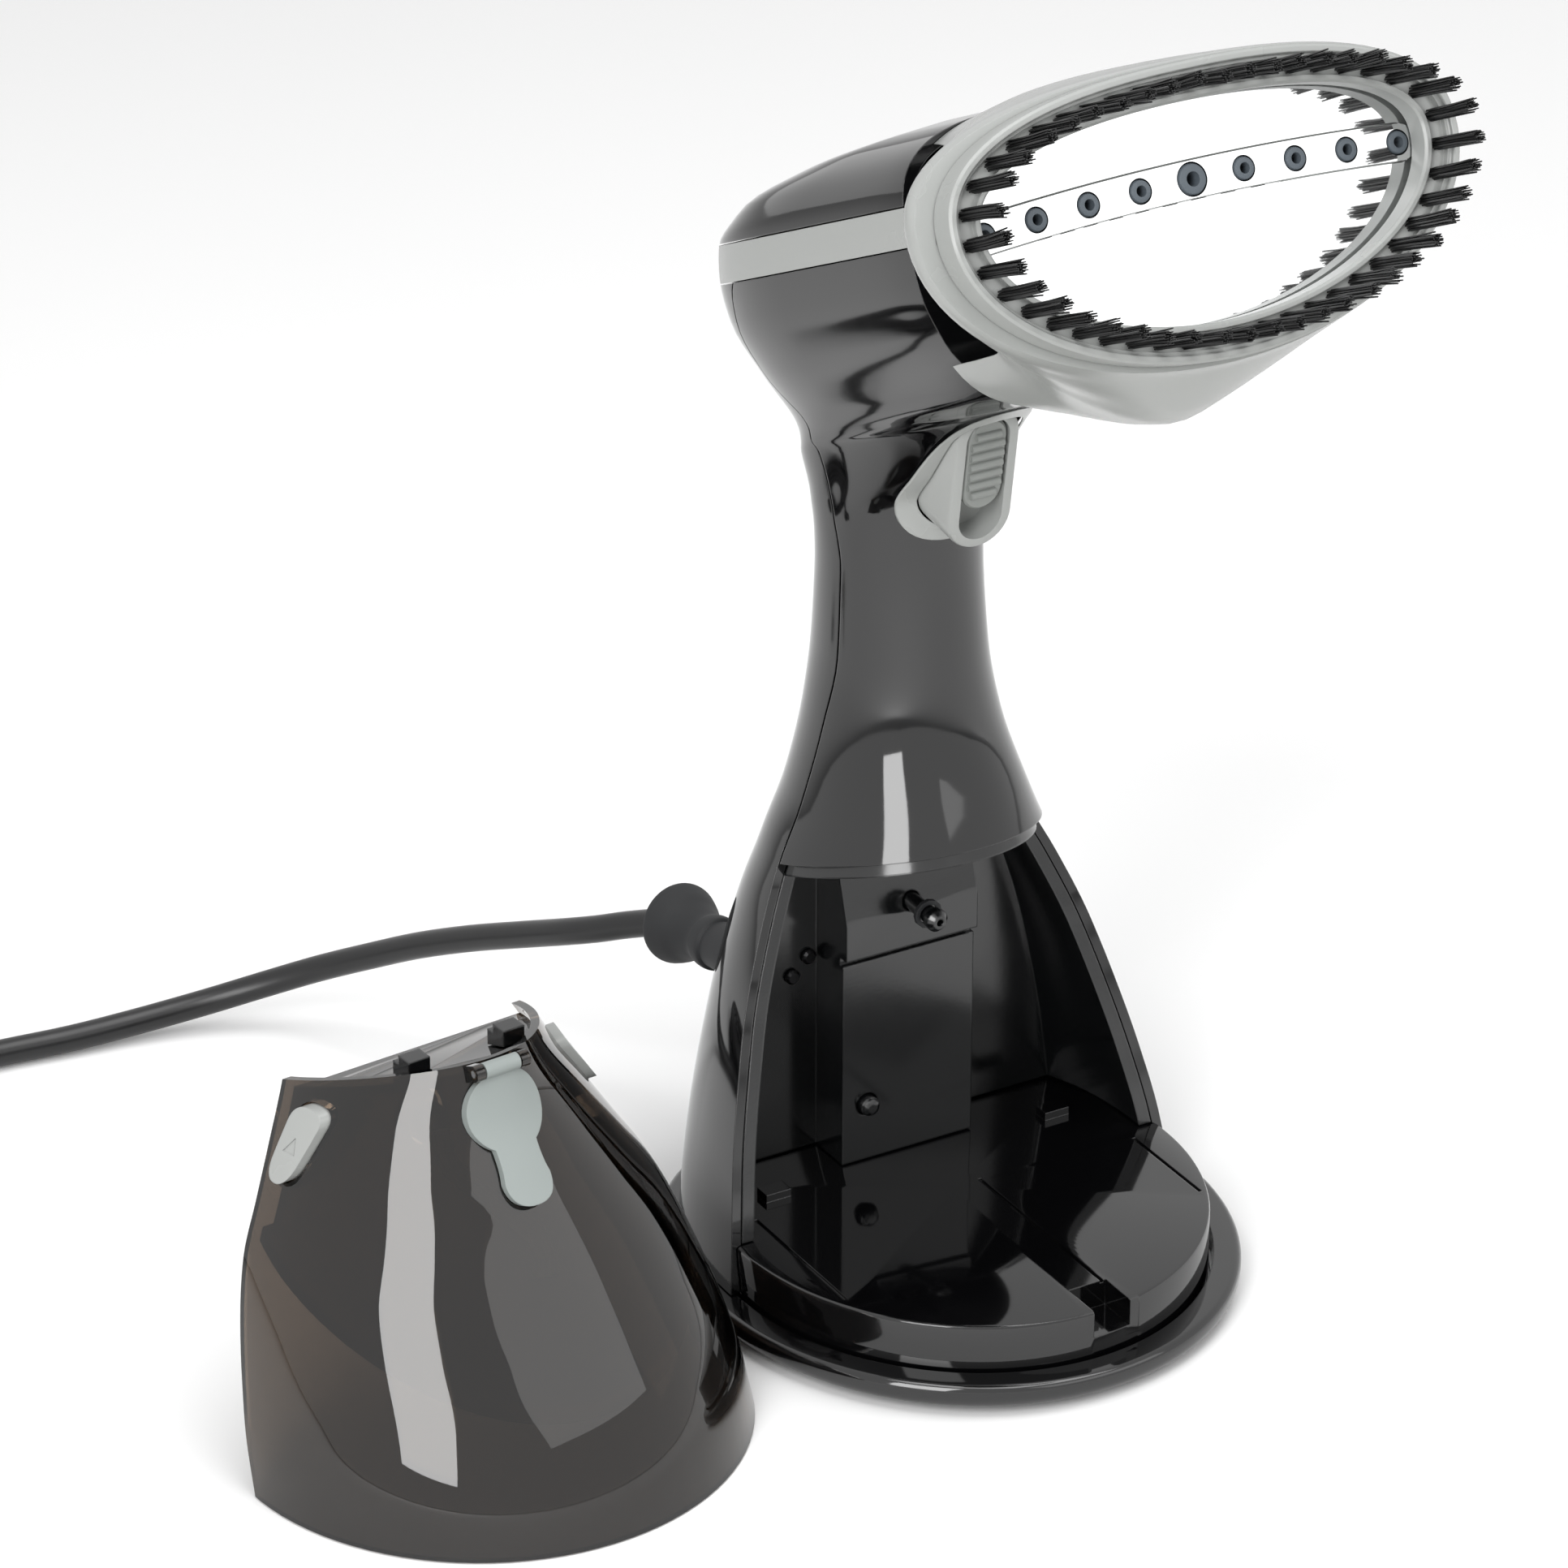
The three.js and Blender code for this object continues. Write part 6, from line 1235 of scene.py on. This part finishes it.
def makeFillCap():
    half, thumbHalf, drop, radius = tank["tab"], tank["thumbHalf"], tank["thumb"], tank["cap"]
    tab = [(-half, 0), (half, 0), (half, capHinge), (-half, capHinge)]
    thumb = quadratic([
        ((-half * 1.4, 0), (-half, -radius * 1.1), (-thumbHalf, -drop * 0.72)),
        ((-thumbHalf, -drop * 0.72), (-thumbHalf, -drop), (0, -drop)),
        ((0, -drop), (thumbHalf, -drop), (thumbHalf, -drop * 0.72)),
        ((thumbHalf, -drop * 0.72), (half, -radius * 1.1), (half * 1.4, 0)),
    ])
    outline = joined(*[capSlab(shape, -radius, radius) for shape in (circle(radius), tab, thumb)])
    made = less(kept(tankSkin(-tank["capProud"]), outline), tankSkin(-gap))
    stemStart = capMatrix @ Vector((0, 0, -tank["wall"] - tank["stemLength"]))
    stemEnd = capMatrix @ Vector((0, 0, tank["capProud"] / 2))
    made = joined(
        made, bar(hingePoint(-half), hingePoint(half), tank["knuckle"]),
        bar(stemStart, stemEnd, tank["stemTip"], tank["stem"]),
    )
    made = less(made, bar(hingePoint(-through), hingePoint(through), tank["pin"] + gap))
    made.name = "fillCap"
    return made


def makeReleaseButton(side, name):
    made = kept(less(tankSkin(-tank["buttonProud"]), tankSkin(tank["buttonInto"])), buttonBlock(side, 0))
    mark = prism("mark", [(-1.6, -1.4), (1.6, -1.4), (0, 1.5)], *buttonSide(side))  # a plain pressed triangle
    made = less(made, kept(mark, less(tankSkin(-tank["buttonProud"] - 1), tankSkin(-tank["buttonProud"] + 0.3))))
    made.name = name
    return made


def placeTankPiece(made, body, material, nodes, sharp=32):
    made.data.transform(tankMatrix)
    return placePiece(made, body, finishes[material], nodes, sharp)


placeTankPiece(makeTankShell(), "tank", "smokedCopolyester", ["tank_shell"])
placeTankPiece(makeReservoir(), "tank", "smokedCopolyester", ["tank_reservoir"])
placeTankPiece(makeFillCap(), "fill_cap", "capGreyPolypropylene", ["fill_cap"])
for side, word in ((-1, "left"), (1, "right")):
    button = makeReleaseButton(side, "releaseButton" + word.capitalize())
    placeTankPiece(button, "release_" + word, "greyAbsMoulded", ["release_button_" + word])
print("tank made")

# The solids that stay: small parts whose shape is right, each with its own finish
staying = {
    "base_plate": "satinAbsMoulded", "inlet_spout": "satinAbsMoulded", "spout_seal": "guardRubber",
    "bay_button": "satinAbsMoulded", "tank_switch": "satinAbsMoulded", "steam_block": "castAluminium",
    "thermostat": "zincPlatedSteel", "pump": "whiteNylonMoulded", "pump_cradle": "guardRubber", "water_hose": "siliconeTube",
    "trigger_pin": "zincPlatedSteel", "steam_switch": "satinAbsMoulded", "trigger_spring": "zincPlatedSteel",
    "cord_clamp": "satinAbsMoulded", "tank_outlet": "satinAbsMoulded", "suction_tube": "siliconeTube",
    "strainer": "satinAbsMoulded", "fill_cap_pin": "zincPlatedSteel", "latch_left": "satinAbsMoulded",
    "latch_right": "satinAbsMoulded", "plug_pin_left": "nickelPlatedBrass", "plug_pin_right": "nickelPlatedBrass",
}
staying.update({f"rubber_foot_{k}": "footRubber" for k in (1, 2, 3, 4)})
staying.update({f"{kind}_screw_{k}": "blackOxideSteel" for kind in ("case", "clamp") for k in (1, 2)})
for name, finish in staying.items():
    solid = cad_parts[name]
    if not solid.material_slots:
        solid.data.materials.append(finishes[finish])
    for materialSlot in solid.material_slots:
        materialSlot.material = finishes[finish]

# Room: a pale floor, a white background and soft lamps
room = {"floor": "#DADAD8", "floorSeen": 1.0, "floorSize": 6.0, "ambient": 0.34, "drop": 0.0004}


# What the camera, the gloss and the clear tank see of the room, and not what lights it
def seenRays(tree):
    rays = addNode(tree, "ShaderNodeLightPath").outputs
    seen = rays["Is Camera Ray"]
    for kind in ("Is Glossy Ray", "Is Transmission Ray"):
        seen = addNode(tree, "ShaderNodeMath", {"operation": "MAXIMUM"}, {0: seen, 1: rays[kind]}).outputs[0]
    return seen


def makeFloor():
    half = room["floorSize"] / 2
    mesh = bpy.data.meshes.new("floor")
    mesh.from_pydata([(-half, -half, 0), (half, -half, 0), (half, half, 0), (-half, half, 0)], [], [(0, 1, 2, 3)])
    floor = bpy.data.objects.new("floor", mesh)
    floor.location.z = -room["drop"]  # just under the feet
    scene.collection.objects.link(floor)
    material, tree, surface, _ = startMaterial("floorPaper", {"Roughness": 0.9, "Specular IOR Level": 0.0})
    white = (room["floorSeen"],) * 3 + (1,)
    paper = addNode(
        tree, "ShaderNodeMix", {"data_type": "RGBA", 6: linearColour(room["floor"]), 7: white}, {0: seenRays(tree)},
    )
    tree.links.new(paper.outputs[2], surface.inputs["Base Color"])
    mesh.materials.append(material)
    return floor


makeFloor()
world = bpy.data.worlds.new("studio")
scene.world = world
world.use_nodes = True
tree = world.node_tree
tree.nodes.clear()
strength = addNode(tree, "ShaderNodeMapRange", {"To Min": room["ambient"], "To Max": 1.0}, {"Value": seenRays(tree)})
background = addNode(tree, "ShaderNodeBackground", {"Color": (1, 1, 1, 1)}, {"Strength": strength.outputs[0]})
addNode(tree, "ShaderNodeOutputWorld", {}, {"Surface": background.outputs[0]})

lamps = {  # place in metres, size across and up, watts, and whether the gloss shows it
    "leftSoftbox": ((-1.12, -0.86, 0.9), 0.62, 1.4, 20, True),
    "topSoftbox": ((0.1, -0.2, 1.7), 1.2, 1.2, 15, True),
    "frontSoftbox": ((0.75, -1.5, 1.224), 2.0, 0.9, 6.5, True),
    "rightSoftbox": ((1.3, -0.5, 0.8), 0.6, 1.2, 5, False),
}
lampAim = Vector((0, 0, 0.13))
for name, (place, wide, tall, power, shows) in lamps.items():
    data = bpy.data.lights.new(name, "AREA")
    data.shape, data.size, data.size_y, data.energy = "RECTANGLE", wide, tall, power
    lamp = bpy.data.objects.new(name, data)
    lamp.location = place
    lamp.visible_glossy = shows
    lamp.rotation_euler = (lampAim - Vector(place)).to_track_quat("-Z", "Y").to_euler()
    scene.collection.objects.link(lamp)
print("room made")
